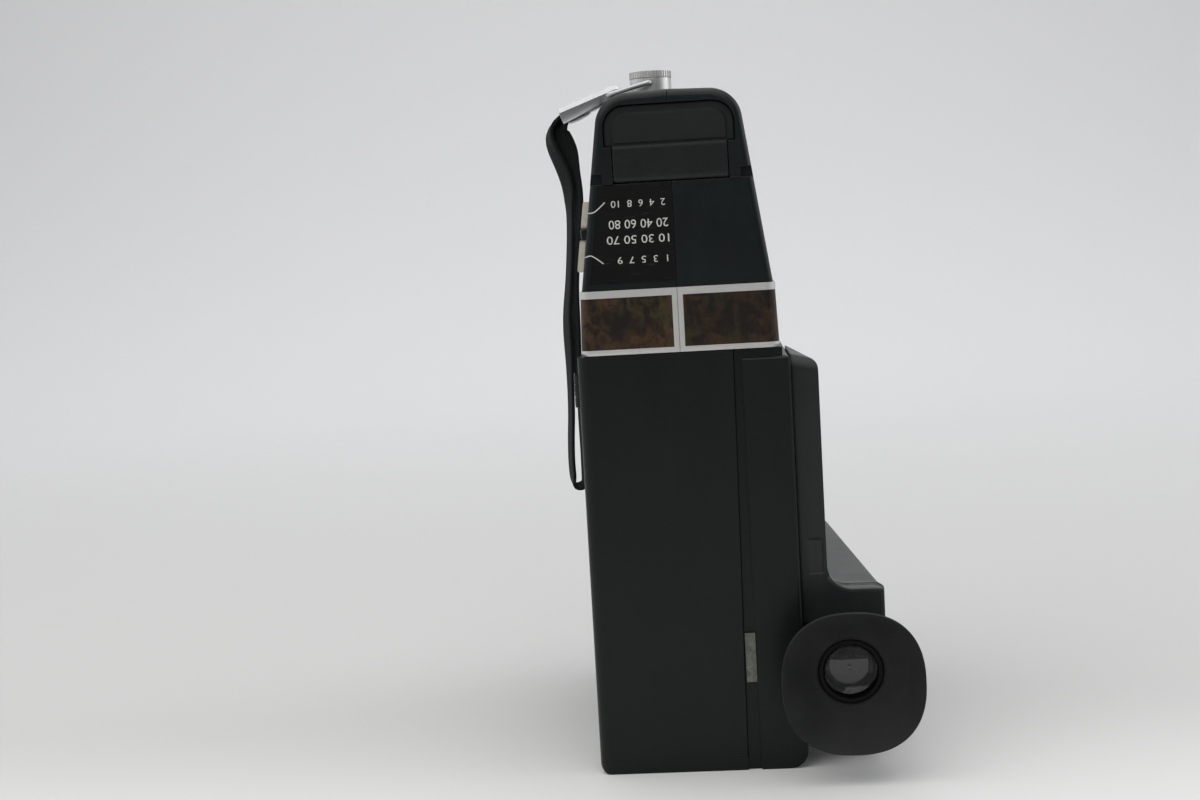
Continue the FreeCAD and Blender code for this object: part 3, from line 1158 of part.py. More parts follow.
def trim_frame(side):
    bevel_top = BAND_BOTTOM + BAND_BEVEL_HEIGHT
    block = loft([band_section(BAND_BOTTOM, BAND_BEVEL), band_section(bevel_top, 0), band_section(BAND_TOP, 0)])
    ring = block.cut(band_block(BAND_THICKNESS, BAND_BOTTOM - PAST, BAND_TOP + PAST))
    window_low = BAND_BOTTOM + BAND_LOWER_RAIL
    window_high = BAND_TOP - BAND_UPPER_RAIL
    depth = PANEL_SUNK + PANEL_THICKNESS
    window = band_block(-PAST, window_low, window_high)
    window = window.cut(band_block(depth, window_low - PAST, window_high + PAST))
    window = window.common(half_space(side, BAND_CENTRE_BAR))
    return ring.common(half_space(side, GRIP_SEAM / 2)).cut(window)


def wood_panel(side):
    low = BAND_BOTTOM + BAND_LOWER_RAIL + PANEL_GAP
    high = BAND_TOP - BAND_UPPER_RAIL - PANEL_GAP
    inner = PANEL_SUNK + PANEL_THICKNESS - PANEL_GAP
    panel = band_block(PANEL_SUNK, low, high).cut(band_block(inner, low - PAST, high + PAST))
    return panel.common(half_space(side, BAND_CENTRE_BAR + PANEL_GAP))


# Grip


def grip_half(z):
    """Half width of the tapering grip at a height."""
    share = (z - BAND_TOP) / GRIP_HEIGHT
    return GRIP_HALF_LOW + (GRIP_HALF_HIGH - GRIP_HALF_LOW) * share


def grip_front(z):
    """Distance of the leaning front of the grip ahead of the rear face."""
    share = (z - BAND_TOP) / GRIP_HEIGHT
    return GRIP_DEPTH_LOW + (GRIP_DEPTH_HIGH - GRIP_DEPTH_LOW) * share


def grip_section(z, rear):
    half = grip_half(z)
    front = ahead(grip_front(z))
    radius = GRIP_FRONT_RADIUS
    corners = [(-half, rear), (half, rear), (half, front, radius), (-half, front, radius)]
    return plan_outline(corners, z)


def grip_form(rear):
    """Outer form of the grip from the band to its end, with its rear edges rounded."""
    top = GRIP_CROWN + PAST
    body = loft([grip_section(BAND_TOP, rear), grip_section(top, rear)])
    half = grip_half(GRIP_TOP)
    end_view = [
        (-grip_half(BAND_TOP), BAND_TOP), (grip_half(BAND_TOP), BAND_TOP), (half, GRIP_TOP, GRIP_CORNER_RADIUS),
        (0, GRIP_CROWN, GRIP_CROWN_RADIUS), (-half, GRIP_TOP, GRIP_CORNER_RADIUS),
    ]
    side_view = [
        (rear, BAND_TOP), (ahead(grip_front(BAND_TOP)), BAND_TOP),
        (ahead(grip_front(GRIP_CROWN)), top, GRIP_END_RADIUS), (rear, top),
    ]
    form = body.common(rear_prism(end_view, rear, FRONT)).common(side_prism(side_view, -GRIP_SPAN, GRIP_SPAN))
    rear_edges = []
    for edge in form.Edges:
        flat = edge.BoundBox.YMax < rear + GRIP_SEAM
        if flat and edge.BoundBox.ZMax > BAND_TOP + PAST:
            rear_edges.append(edge)
    return form.makeFillet(GRIP_REAR_RADIUS, rear_edges)


def battery_slot(gap, y0, y1):
    """T-shaped way in for the cells, or the outline of its door when a gap is taken off."""
    half = CELLS_HALF_WIDTH + CHAMBER_CELL_GAP - gap
    wide = SLOT_HALF_WIDE - gap
    low = RIM_BOTTOM + gap
    step = SLOT_WIDE_BOTTOM
    high = SLOT_TOP - gap
    radius = SLOT_TOP_RADIUS - gap
    corners = [
        (-half, low), (half, low), (half, step + gap), (wide, step + gap), (wide, high, radius),
        (-wide, high, radius), (-wide, step + gap), (-half, step + gap),
    ]
    return rear_prism(corners, y0, y1)


def cell_centres():
    centres = []
    for row in range(CELL_ROWS):
        for column in range(CELL_COLUMNS):
            x = (column - (CELL_COLUMNS - 1) / 2) * CELL_PITCH
            z = RIM_BOTTOM + CHAMBER_CELL_GAP + CELL_RADIUS + row * CELL_PITCH
            centres.append(V(x, ahead(CELL_AHEAD), z))
    return centres


def grip_hollows():
    """Battery chamber, the room below it, and the openings of switch, trigger, jacks and screw."""
    half = CELLS_HALF_WIDTH + CHAMBER_CELL_GAP
    chamber = rear_prism([
        (-half, RIM_BOTTOM), (half, RIM_BOTTOM), (half, SLOT_TOP, CELL_RADIUS - PAST),
        (-half, SLOT_TOP, CELL_RADIUS - PAST),
    ], ahead(0), ahead(BATTERY_END))
    door_seat = DOOR_SLAB_THICKNESS - DOOR_SLAB_PROUD + DOOR_PLATE_GAP
    slot = battery_slot(0, ahead(-RIM_PROUD - PAST), ahead(door_seat))
    room_low = BODY_HEIGHT + GRIP_FLOOR
    room_high = RIM_BOTTOM - BATTERY_FLOOR
    room = band_block(BAND_THICKNESS + PANEL_GAP + GRIP_WALL / 2, room_low, BAND_TOP - PAST)
    upper_room = loft([room_section(BAND_TOP - PAST), room_section(room_high)])
    return [chamber, slot, room, upper_room]


def room_section(z):
    half = grip_half(z) - GRIP_WALL
    front = ahead(grip_front(z) - GRIP_WALL)
    radius = GRIP_FRONT_RADIUS - GRIP_WALL
    rear = ahead(GRIP_WALL)
    corners = [(-half, rear), (half, rear), (half, front, radius), (-half, front, radius)]
    return plan_outline(corners, z)


def rocker_pivot():
    z = (ROCKER_LOWER_PAD_TOP + ROCKER_UPPER_PAD_BOTTOM) / 2
    return V(-grip_half(z) + GRIP_WALL / 2, ahead(ROCKER_AHEAD), z)


def rocker_cuts():
    outside = -grip_half(ROCKER_BOTTOM) - ROCKER_POCKET
    deep = ROCKER_BELLY + ROCKER_POCKET
    low = ROCKER_BOTTOM - ROCKER_GAP
    high = ROCKER_TOP + ROCKER_GAP
    pocket = rear_prism([
        (outside, low), (-grip_half(ROCKER_BOTTOM) + deep, low), (-grip_half(ROCKER_TOP) + deep, high),
        (outside, high),
    ], ahead(ROCKER_AHEAD - ROCKER_GAP), ahead(ROCKER_AHEAD + ROCKER_WIDTH + ROCKER_GAP))
    reach = ROCKER_PIN_REACH + DOOR_GAP
    start = rocker_pivot() - Y_AXIS * reach
    hole = rod(ROCKER_PIN_RADIUS + ROCKER_PIN_FIT, start, Y_AXIS, ROCKER_WIDTH + 2 * reach)
    return [pocket, hole]


def microphone_rocker():
    def skin(z, proud):
        return -grip_half(z) - proud
    middle = rocker_pivot().z
    low_pad = ROCKER_LOWER_PAD_TOP
    high_pad = ROCKER_UPPER_PAD_BOTTOM
    shoulder = ROCKER_SHOULDER
    edge = ROCKER_EDGE_RADIUS
    belly = ROCKER_BELLY_HALF
    corners = [
        (skin(ROCKER_BOTTOM, ROCKER_PROUD), ROCKER_BOTTOM, edge), (skin(low_pad, ROCKER_PROUD), low_pad, edge),
        (skin(low_pad + shoulder, ROCKER_VALLEY_PROUD), low_pad + shoulder),
        (skin(high_pad - shoulder, ROCKER_VALLEY_PROUD), high_pad - shoulder),
        (skin(high_pad, ROCKER_PROUD), high_pad, edge), (skin(ROCKER_TOP, ROCKER_PROUD), ROCKER_TOP, edge),
        (skin(ROCKER_TOP, -ROCKER_INNER), ROCKER_TOP), (skin(middle + belly, -ROCKER_BELLY), middle + belly),
        (skin(middle - belly, -ROCKER_BELLY), middle - belly), (skin(ROCKER_BOTTOM, -ROCKER_INNER), ROCKER_BOTTOM),
    ]
    body = rear_prism(corners, ahead(ROCKER_AHEAD), ahead(ROCKER_AHEAD + ROCKER_WIDTH))
    start = rocker_pivot() - Y_AXIS * ROCKER_PIN_REACH
    pin = rod(ROCKER_PIN_RADIUS, start, Y_AXIS, ROCKER_WIDTH + 2 * ROCKER_PIN_REACH)
    return body.fuse(pin).removeSplitter()


def trigger_back():
    """Distance of the trigger flange's front face ahead of the rear face."""
    return grip_front(TRIGGER_TOP + TRIGGER_FLANGE) - GRIP_WALL - TRIGGER_CLEARANCE


def trigger():
    front = grip_front(TRIGGER_BOTTOM) + TRIGGER_PROUD
    back = trigger_back()
    corners = [
        (ahead(back - PAST), TRIGGER_BOTTOM), (ahead(front), TRIGGER_BOTTOM, TRIGGER_EDGE_RADIUS),
        (ahead(front - TRIGGER_HOLLOW), (TRIGGER_BOTTOM + TRIGGER_TOP) / 2, TRIGGER_HOLLOW_RADIUS),
        (ahead(front), TRIGGER_TOP, TRIGGER_EDGE_RADIUS), (ahead(back - PAST), TRIGGER_TOP),
    ]
    body = side_prism(corners, -TRIGGER_HALF_WIDTH, TRIGGER_HALF_WIDTH)
    wide = TRIGGER_HALF_WIDTH + TRIGGER_FLANGE
    flange = box(-wide, wide, ahead(back - TRIGGER_FLANGE), ahead(back), TRIGGER_BOTTOM - TRIGGER_FLANGE,
                 TRIGGER_TOP + TRIGGER_FLANGE)
    return body.fuse(flange).removeSplitter()


def trigger_hole():
    wide = TRIGGER_HALF_WIDTH + TRIGGER_CLEARANCE
    return box(-wide, wide, ahead(trigger_back()), FRONT + PAST, TRIGGER_BOTTOM - TRIGGER_CLEARANCE,
               TRIGGER_TOP + TRIGGER_CLEARANCE)


def trigger_switch():
    """Switch block that hangs from the floor of the battery chamber behind the trigger."""
    front = trigger_back() - TRIGGER_FLANGE - TRIGGER_TRAVEL - TRIGGER_CLEARANCE
    middle = (TRIGGER_BOTTOM + TRIGGER_TOP) / 2
    return box(-SWITCH_HALF_WIDTH, SWITCH_HALF_WIDTH, ahead(front - SWITCH_DEPTH), ahead(front),
               middle - SWITCH_HALF_HEIGHT, RIM_BOTTOM - BATTERY_FLOOR)


def jack_face(z):
    """X of the flat, sunk seat of a jack in the slanting side of the grip."""
    return -grip_half(z + JACK_FLANGE_RADIUS) + JACK_SEAT


def jack(z):
    face = jack_face(z)
    start = V(face, ahead(JACK_AHEAD), z)
    flange = rod(JACK_FLANGE_RADIUS, start - X_AXIS * JACK_FLANGE_THICKNESS, X_AXIS, JACK_FLANGE_THICKNESS)
    barrel = rod(JACK_RADIUS, start, X_AXIS, JACK_LENGTH)
    bore = rod(JACK_BORE, start - X_AXIS * (JACK_FLANGE_THICKNESS + PAST), X_AXIS, JACK_LENGTH)
    return flange.fuse(barrel).cut(bore).removeSplitter()


def jack_cuts(z):
    face = jack_face(z)
    seat = rod(JACK_FLANGE_RADIUS + DOOR_GAP, V(face - GRIP_WALL, ahead(JACK_AHEAD), z), X_AXIS, GRIP_WALL)
    hole = rod(JACK_RADIUS, V(face - GRIP_WALL, ahead(JACK_AHEAD), z), X_AXIS, JACK_LENGTH)
    return [seat, hole]


def screw_axis(z):
    return V(SCREW_X, ahead(SCREW_AHEAD), z)


def grip_shell(side):
    rear = ahead(-RIM_PROUD)
    above_rim = box(-GRIP_SPAN, GRIP_SPAN, rear, FRONT, RIM_BOTTOM, GRIP_CROWN + PAST)
    below_rim = box(-GRIP_SPAN, GRIP_SPAN, rear, FRONT, BAND_TOP, RIM_BOTTOM)
    upper = grip_form(rear).common(above_rim)
    lower = grip_form(REAR).common(below_rim)
    core = band_block(BAND_THICKNESS + PANEL_GAP, BAND_BOTTOM - DOOR_GAP, BAND_TOP)
    form = upper.fuse([lower, core])
    notches = []
    for edge in (-1, 1):
        x0, x1 = sorted((edge * RIM_NOTCH_X, edge * GRIP_SPAN))
        notches.append(box(x0, x1, rear - PAST, rear + RIM_NOTCH_DEPTH, RIM_BOTTOM, RIM_BOTTOM + RIM_NOTCH_HEIGHT))
    pin_start = door_axis() - X_AXIS * (CELLS_HALF_WIDTH + DOOR_PIN_REACH + DOOR_PIN_END_GAP)
    pin_hole = rod(DOOR_PIN_RADIUS + DOOR_PIN_FIT, pin_start, X_AXIS, -2 * pin_start.x)
    cuts = grip_hollows() + notches + [pin_hole, trigger_hole()] + rocker_cuts()
    cuts += jack_cuts(MICROPHONE_Z) + jack_cuts(EARPHONE_Z)
    cuts.append(rod(SOCKET_RADIUS, screw_axis(SLOT_TOP), Z_AXIS, BATTERY_ROOF + GRIP_CROWN_RISE + PAST))
    return form.common(half_space(side, GRIP_SEAM / 2)).cut(cuts).removeSplitter()


def tripod_socket():
    low = SLOT_TOP + SOCKET_SUNK
    bush = rod(SOCKET_RADIUS, screw_axis(low), Z_AXIS, GRIP_CROWN - SOCKET_SUNK - low)
    return bush.cut(rod(SOCKET_BORE, screw_axis(low - PAST), Z_AXIS, GRIP_CROWN - low + PAST))


def label_plate():
    inset = GRIP_REAR_RADIUS + LABEL_MARGIN
    right = -LABEL_SEAM_GAP
    corners = [
        (-grip_half(LABEL_BOTTOM) + inset, LABEL_BOTTOM), (right, LABEL_BOTTOM), (right, LABEL_TOP),
        (-grip_half(LABEL_TOP) + inset, LABEL_TOP),
    ]
    return rear_prism(corners, ahead(-LABEL_THICKNESS), REAR)


# Batteries


def battery_cell(centre):
    can = rod(CELL_RADIUS, centre + Y_AXIS * CELL_NUB_HEIGHT, Y_AXIS, CELL_LENGTH - CELL_NUB_HEIGHT)
    nub = rod(CELL_NUB_RADIUS, centre, Y_AXIS, CELL_NUB_HEIGHT)
    return can.fuse(nub).removeSplitter()


def battery_contacts():
    """Coil springs, drawn as cones, on strips against the end wall of the battery chamber."""
    solids = []
    wall = BATTERY_END
    for centre in cell_centres():
        half = CONTACT_HALF_WIDTH
        strip = box(centre.x - half, centre.x + half, ahead(wall - CONTACT_THICKNESS), ahead(wall), centre.z - half,
                    centre.z + half)
        length = CONTACT_SPACE - CONTACT_THICKNESS
        cone = Part.makeCone(CONTACT_SPRING_TIP, CONTACT_SPRING_FOOT, length,
                             V(centre.x, ahead(wall - CONTACT_SPACE), centre.z), Y_AXIS)
        solids.append(strip.fuse(cone).removeSplitter())
    return Part.makeCompound(solids)


def door_axis():
    """Hinge line of the battery door, through the middle of its rounded lower end."""
    bead = DOOR_SLAB_THICKNESS / 2
    return V(0, ahead(bead - DOOR_SLAB_PROUD), RIM_BOTTOM + bead + DOOR_PLATE_GAP)


def battery_door():
    gap = DOOR_PLATE_GAP
    inner = ahead(DOOR_SLAB_THICKNESS - DOOR_SLAB_PROUD)
    outer = ahead(-DOOR_SLAB_PROUD)
    plate = battery_slot(gap, outer, inner)
    axis = door_axis()
    wing_face = ahead(DOOR_WING_RECESS)
    wing_recess = box(-GRIP_SPAN, GRIP_SPAN, outer - PAST, wing_face, SLOT_WIDE_BOTTOM, GRIP_CROWN)
    plate = plate.cut(wing_recess)
    low = box(-GRIP_SPAN, GRIP_SPAN, outer - PAST, inner + PAST, 0, axis.z)
    half = CELLS_HALF_WIDTH + CHAMBER_CELL_GAP - gap
    bead = rod(DOOR_SLAB_THICKNESS / 2, V(-half, axis.y, axis.z), X_AXIS, 2 * half)
    pins = rod(DOOR_PIN_RADIUS, V(-half - DOOR_PIN_REACH, axis.y, axis.z), X_AXIS, 2 * (half + DOOR_PIN_REACH))
    wide = SLOT_HALF_WIDE - gap
    bevel = DOOR_BEVEL_WIDTH
    field_low = SLOT_WIDE_BOTTOM + gap + DOOR_FIELD_INSET
    field_high = SLOT_TOP - gap - bevel
    field_radius = SLOT_TOP_RADIUS - bevel
    field = rear_prism([
        (-wide + bevel, field_low), (wide - bevel, field_low), (wide - bevel, field_high, field_radius),
        (-wide + bevel, field_high, field_radius),
    ], wing_face - DOOR_BEVEL_DEPTH / 2, wing_face + DOOR_BEVEL_DEPTH / 2)
    return plate.cut(low).fuse([bead, pins, field]).removeSplitter()


def door_contacts():
    """Strips on the inner face of the battery door that bridge the cells."""
    inner = ahead(DOOR_SLAB_THICKNESS - DOOR_SLAB_PROUD)
    reach = CELL_AHEAD - (DOOR_SLAB_THICKNESS - DOOR_SLAB_PROUD) - DOOR_GAP
    solids = []
    half = DOOR_CONTACT_HALF_WIDTH
    low = RIM_BOTTOM + 2 * CHAMBER_CELL_GAP + half
    for column in range(CELL_COLUMNS):
        x = (column - (CELL_COLUMNS - 1) / 2) * CELL_PITCH
        strip = box(x - half, x + half, inner, inner + CONTACT_THICKNESS, low, SLOT_TOP - half)
        bumps = []
        for row in range(CELL_ROWS):
            z = RIM_BOTTOM + CHAMBER_CELL_GAP + CELL_RADIUS + row * CELL_PITCH
            bumps.append(rod(DOOR_CONTACT_BUMP, V(x, inner, z), Y_AXIS, reach))
        solids.append(strip.fuse(bumps).removeSplitter())
    return Part.makeCompound(solids)


# Wrist strap


def thumb_screw():
    head = rod(SCREW_HEAD_RADIUS, screw_axis(SCREW_HEAD_BOTTOM), Z_AXIS, SCREW_HEAD_HEIGHT)
    shank = rod(SOCKET_BORE - SCREW_FIT, screw_axis(SCREW_TIP), Z_AXIS, SCREW_HEAD_BOTTOM - SCREW_TIP + PAST)
    start = screw_axis(SCREW_HEAD_BOTTOM - PAST) + X_AXIS * SCREW_HEAD_RADIUS
    knurl = rod(SCREW_KNURL_RADIUS, start, Z_AXIS, SCREW_HEAD_HEIGHT + 2 * PAST)
    knurls = around(knurl, SCREW_KNURL_COUNT, screw_axis(0), Z_AXIS)
    return head.cut(knurls).fuse(shank).removeSplitter()


def swivel_collar():
    drum = rod(COLLAR_RADIUS, screw_axis(COLLAR_BOTTOM), Z_AXIS, COLLAR_HEIGHT)
    bore = rod(SOCKET_BORE, screw_axis(COLLAR_BOTTOM - PAST), Z_AXIS, COLLAR_HEIGHT + 2 * PAST)
    hole_radius = WIRE_RADIUS + WIRE_HOLE_GAP
    holes = []
    for side in (-1, 1):
        start = screw_axis(BAIL_Z) + Y_AXIS * (side * (BAIL_INNER_REACH - WIRE_HOLE_GAP))
        holes.append(rod(hole_radius, start, Y_AXIS * side, COLLAR_RADIUS))
    return drum.cut([bore] + holes).removeSplitter()


def strap_bail():
    """Bent wire whose two ends hook into the collar."""
    middle = screw_axis(BAIL_Z)
    points = []
    for side in (-1, 1):
        inner = middle + Y_AXIS * (side * BAIL_INNER_REACH)
        outer = middle + Y_AXIS * (side * BAIL_OUTER_REACH)
        end = V(BAIL_END_X, middle.y + side * BAIL_END_REACH, BAIL_END_Z)
        points.append([inner, outer, end])
    path = points[0] + points[1][::-1]
    return tube(path, [0] + [BAIL_BEND] * (len(path) - 2) + [0], WIRE_RADIUS)


def strap_clamp():
    """Folded sheet sleeve that grips the ends of the strap and holds the bail."""
    left = V(CLAMP_LEFT_X, 0, CLAMP_LEFT_Z)
    right = V(CLAMP_RIGHT_X, 0, CLAMP_RIGHT_Z)
    along = (right - left).normalize()
    up = V(-along.z, 0, along.x) * (CLAMP_THICKNESS / 2)
    corners = []
    for point in (left + up, left - up, right - up, right + up):
        corners.append((point.x, point.z, CLAMP_EDGE_RADIUS))
    middle = ahead(SCREW_AHEAD)
    body = rear_prism(corners, middle - CLAMP_HALF_WIDTH, middle + CLAMP_HALF_WIDTH)
    rear = middle - 2 * CLAMP_HALF_WIDTH
    front = middle + 2 * CLAMP_HALF_WIDTH
    hook = WIRE_RADIUS + CLAMP_WIRE_GAP
    crossbar = rod(hook, V(BAIL_END_X, rear, BAIL_END_Z), Y_AXIS, front - rear)
    mouth = box(BAIL_END_X, 0, rear, front, BAIL_END_Z - hook, BAIL_END_Z + hook)
    return body.cut([crossbar, mouth, strap_solid()]).removeSplitter()


def strap_points():
    middle = ahead(SCREW_AHEAD)
    left = V(CLAMP_LEFT_X, 0, CLAMP_LEFT_Z)
    right = V(CLAMP_RIGHT_X, 0, CLAMP_RIGHT_Z)
    along = (right - left).normalize()
    up = V(-along.z, 0, along.x) * STRAP_END_OFFSET
    first = left + along * STRAP_IN_CLAMP + up
    last = left + along * STRAP_IN_CLAMP - up
    route = [V(BODY_LEFT - beyond, middle, CLAMP_LEFT_Z - below) for beyond, below in STRAP_ROUTE]
    return [V(first.x, middle, first.z)] + route + [V(last.x, middle, last.z)]


def strap_solid():
    points = strap_points()
    radii = [0.0]
    for index in range(1, len(points) - 1):
        before = points[index] - points[index - 1]
        after = points[index + 1] - points[index]
        turn = before.getAngle(after)
        shorter = min(before.Length, after.Length)
        radii.append(STRAP_BEND_RATIO * shorter / math.tan(turn / 2))
    radii.append(0.0)
    path = rounded_wire(points, radii, False)
    start = points[0]
    run = (points[1] - start).normalize()
    across = Y_AXIS * (STRAP_WIDTH / 2)
    through = run.cross(Y_AXIS) * (STRAP_THICKNESS / 2)
    section = Part.makePolygon([start - across - through, start + across - through, start + across + through,
                                start - across + through, start - across - through])
    shell = Part.BRepOffsetAPI.MakePipeShell(path)
    shell.setBiNormalMode(Y_AXIS)
    shell.add(section)
    shell.build()
    shell.makeSolid()
    strap = shell.shape()
    print("strap radii", [round(radius, 1) for radius in radii[1:-1]])
    print("strap volume", round(strap.Volume), "section times length",
          round(STRAP_WIDTH * STRAP_THICKNESS * path.Length))
    return strap


def subparts():
    parts = {
        "body_shell": body_shell, "film_chamber": film_chamber, "film_gate": film_gate, "sound_head": sound_head,
        "pinch_pin": pinch_pin, "drive_motor": drive_motor, "circuit_board": circuit_board,
        "front_plate": front_plate, "lens_barrel": lens_barrel, "front_lens": front_lens,
        "meter_window": meter_window, "finder_housing": finder_housing, "finder_window": finder_window,
        "eyepiece_tube": eyepiece_tube, "eye_lens": eye_lens, "eyecup": eyecup, "counter_window": counter_window,
        "door_hinge_pins": door_hinge_pins, "battery_contacts": battery_contacts, "label_plate": label_plate,
        "tripod_socket": tripod_socket, "swivel_collar": swivel_collar, "trigger_switch": trigger_switch,
        "film_door": film_door, "film_door_spring": film_door_spring, "latch_tab": latch_tab,
        "battery_door": battery_door, "door_contacts": door_contacts, "microphone_rocker": microphone_rocker,
        "trigger": trigger, "focus_ring": focus_ring, "take_up_spindle": take_up_spindle,
        "take_up_gear": take_up_gear, "capstan": capstan, "flywheel": flywheel, "pinch_roller": pinch_roller,
        "thumb_screw": thumb_screw, "strap_bail": strap_bail, "strap_clamp": strap_clamp,
        "wrist_strap": strap_solid,
    }
    solids = {name: make() for name, make in parts.items()}
    for name, side in (("left", -1), ("right", 1)):
        solids["trim_frame_" + name] = trim_frame(side)
        solids["wood_panel_" + name] = wood_panel(side)
        solids["grip_shell_" + name] = grip_shell(side)
    solids["microphone_jack"] = jack(MICROPHONE_Z)
    solids["earphone_jack"] = jack(EARPHONE_Z)
    for index, centre in enumerate(cell_centres()):
        solids["battery_cell_%d" % (index + 1)] = battery_cell(centre)
    return solids


os.makedirs("parts", exist_ok=True)
for node, solid in subparts().items():
    print(node, len(solid.Solids), solid.isValid(), round(solid.Volume))
    solid.exportStep("parts/%s.step" % node)
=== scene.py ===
"""Sound movie camera standing upside down on its flat top: finishes, wrist strap, eyecup, label and stage.

The CAD nodes keep their shapes and get procedural finishes here. The strap, its clamp and the eyecup are new surfaces
that stand for their plain solids. The label's print, the thumb ribs, the dark filler in the rocker's valley and the
finder's rim add to theirs. Lengths are metres unless a name ends in MM.
"""
import math

import bpy
import numpy as np
from mathutils import Matrix, Vector


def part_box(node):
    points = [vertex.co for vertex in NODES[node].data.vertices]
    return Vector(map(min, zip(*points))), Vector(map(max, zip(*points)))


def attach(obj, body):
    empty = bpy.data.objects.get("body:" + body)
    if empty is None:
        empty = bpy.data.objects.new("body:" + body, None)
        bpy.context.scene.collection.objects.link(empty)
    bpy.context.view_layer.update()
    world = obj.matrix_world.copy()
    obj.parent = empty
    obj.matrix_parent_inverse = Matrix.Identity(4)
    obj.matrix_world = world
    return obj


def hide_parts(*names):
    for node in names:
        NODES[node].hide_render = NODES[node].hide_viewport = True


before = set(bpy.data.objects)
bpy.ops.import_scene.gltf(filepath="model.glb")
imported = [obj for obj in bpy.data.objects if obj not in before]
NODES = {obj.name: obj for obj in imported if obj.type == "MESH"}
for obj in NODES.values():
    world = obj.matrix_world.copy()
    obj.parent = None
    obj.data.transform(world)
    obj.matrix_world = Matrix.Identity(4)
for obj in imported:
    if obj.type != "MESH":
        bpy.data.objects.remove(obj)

bl_info = {
    "name": "Sound movie camera",
    "version": (1, 0),
    "blender": (4, 5, 0),
    "location": "3D View > Sidebar > Movie camera",
    "description": "Dresses a sound movie camera with its finishes, wrist strap, eyecup, label and stage",
    "category": "Object",
}

MM = 0.001
LEVEL = np.array([0.0, 1.0, 0.0])
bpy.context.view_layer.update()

# The photograph's view: its place in metres and its directions
VIEW_PLACE = (0.01373, -0.7147, 0.20655)
VIEW_AHEAD = (-0.06881, 0.9927, -0.0991)
VIEW_RIGHT = (0.99634, 0.06333, -0.05745)

# Places of the solids that the new pieces meet, in millimetres; a pair is (across, height)
REAR_MM = -75.0
FINDER_REAR_MM = -70.0
BAND_TOP_MM = 182.8
GRIP_HALF_LOW_MM = 35.25
GRIP_HALF_TOP_MM = 25.4
GRIP_HEIGHT_MM = 71.2
GRIP_EDGE_MM = 2.8
SIDE_MM = -38.5
STRAP_MIDDLE_MM = REAR_MM + 22.0
CLAMP_LEFT_MM = (-40.6, 248.4)
CLAMP_RIGHT_MM = (-20.6, 255.5)
EYE_MM = (56.5, 39.2)
ROCKER_MM = (-32.95, 203.95)
PANEL_MM = (19.0, 171.0)
PANEL_HALF_MM = (17.0, 10.5)
DOOR_RIBS_MM = (224.2, 234.2)
DOOR_RIBS_HALF_MM = 20.3

# Middle line of the strap: beyond the housing's left side and below the end of the clamp, in millimetres
STRAP_ROUTE_MM = [
    (4.0, 1.0), (6.0, 3.5), (7.0, 6.1), (6.9, 9.1), (5.7, 12.9), (4.0, 16.7), (2.5, 20.6), (1.4, 24.4),
    (0.9, 28.2), (0.9, 32.0), (0.8, 36.5), (1.2, 44.9), (1.9, 53.4), (2.9, 63.4), (4.1, 72.4), (4.5, 80.4),
    (4.3, 90.4), (4.5, 100.4), (4.8, 112.4), (5.5, 121.4), (5.9, 130.4), (5.7, 135.9), (5.6, 140.7),
    (1.2, 140.7), (1.1, 135.9), (1.0, 127.4), (1.1, 118.4), (1.1, 108.4), (1.2, 101.9), (1.6, 95.4), (1.4, 85.4),
    (1.0, 74.4), (0.7, 65.4), (-0.1, 56.9), (-1.3, 47.2), (-2.2, 38.8), (-2.6, 32.2), (-2.3, 28.4), (-1.6, 24.6),
    (-0.8, 20.8), (-0.3, 17.0), (0.0, 13.2), (1.2, 9.4), (3.1, 5.9), (2.2, 2.9),
]
# Lean of the two strands out of the strap's plane at heights in millimetres: outer and inner, in degrees
STRAP_LEAN = [
    (150.0, 19, 18), (155.0, 25, 25), (165.0, 28, 30), (176.0, 24, 24), (187.0, 21, 20), (205.0, 21, 20),
    (212.5, 22, 25), (216.3, 28, 29), (220.1, 36, 36), (224.0, 40, 46), (227.8, 41, 60), (231.6, 38, 74),
    (235.4, 34, 86), (239.2, 28, 88), (242.5, 16, 78), (245.5, 6, 40), (248.5, 0, 0),
]

# Figures on the label plate, as (text, left, right, middle height, height), in millimetres
FIGURES_MM = [
    ("2  4  6  8  10", -22.5, -2.6, 214.25, 2.5), ("20 40 60 80", -23.7, -1.9, 206.8, 3.2),
    ("10 30 50 70", -24.7, -1.8, 201.15, 3.0), ("1  3  5  7  9", -21.1, -2.6, 193.7, 2.5),
]
# Control points of the two pointer lines beside them
POINTERS_MM = [
    [(-31.2, 211.5), (-29.4, 211.5), (-28.0, 212.1), (-24.7, 215.1)],
    [(-33.4, 195.4), (-31.6, 196.0), (-30.0, 195.8), (-26.4, 192.8)],
]
# Section of the finder's rim, as (outward from the edge, ahead of the rear face): round nose, ledge, step and back
RIM_SECTION_MM = np.array([
    (-1.2, 0.02), (-0.9, -0.05), (-0.2, -0.12), (0.1, -0.08), (0.35, 0.06), (0.7, 0.3), (1.05, 0.58),
    (1.25, 0.85), (1.32, 1.2), (1.34, 2.0), (1.45, 2.15), (2.0, 2.2), (2.1, 2.4), (2.1, 3.6), (1.8, 3.9),
    (-0.4, 4.0), (-1.2, 3.8),
])


# Shapes


def points(*columns):
    """Points from their coordinates, each a number or an array that is spread over the others."""
    return np.stack(np.broadcast_arrays(*columns), -1)


def unit(rows):
    """Vectors, each divided by its length."""
    return rows / np.linalg.norm(rows, axis=1)[:, None]


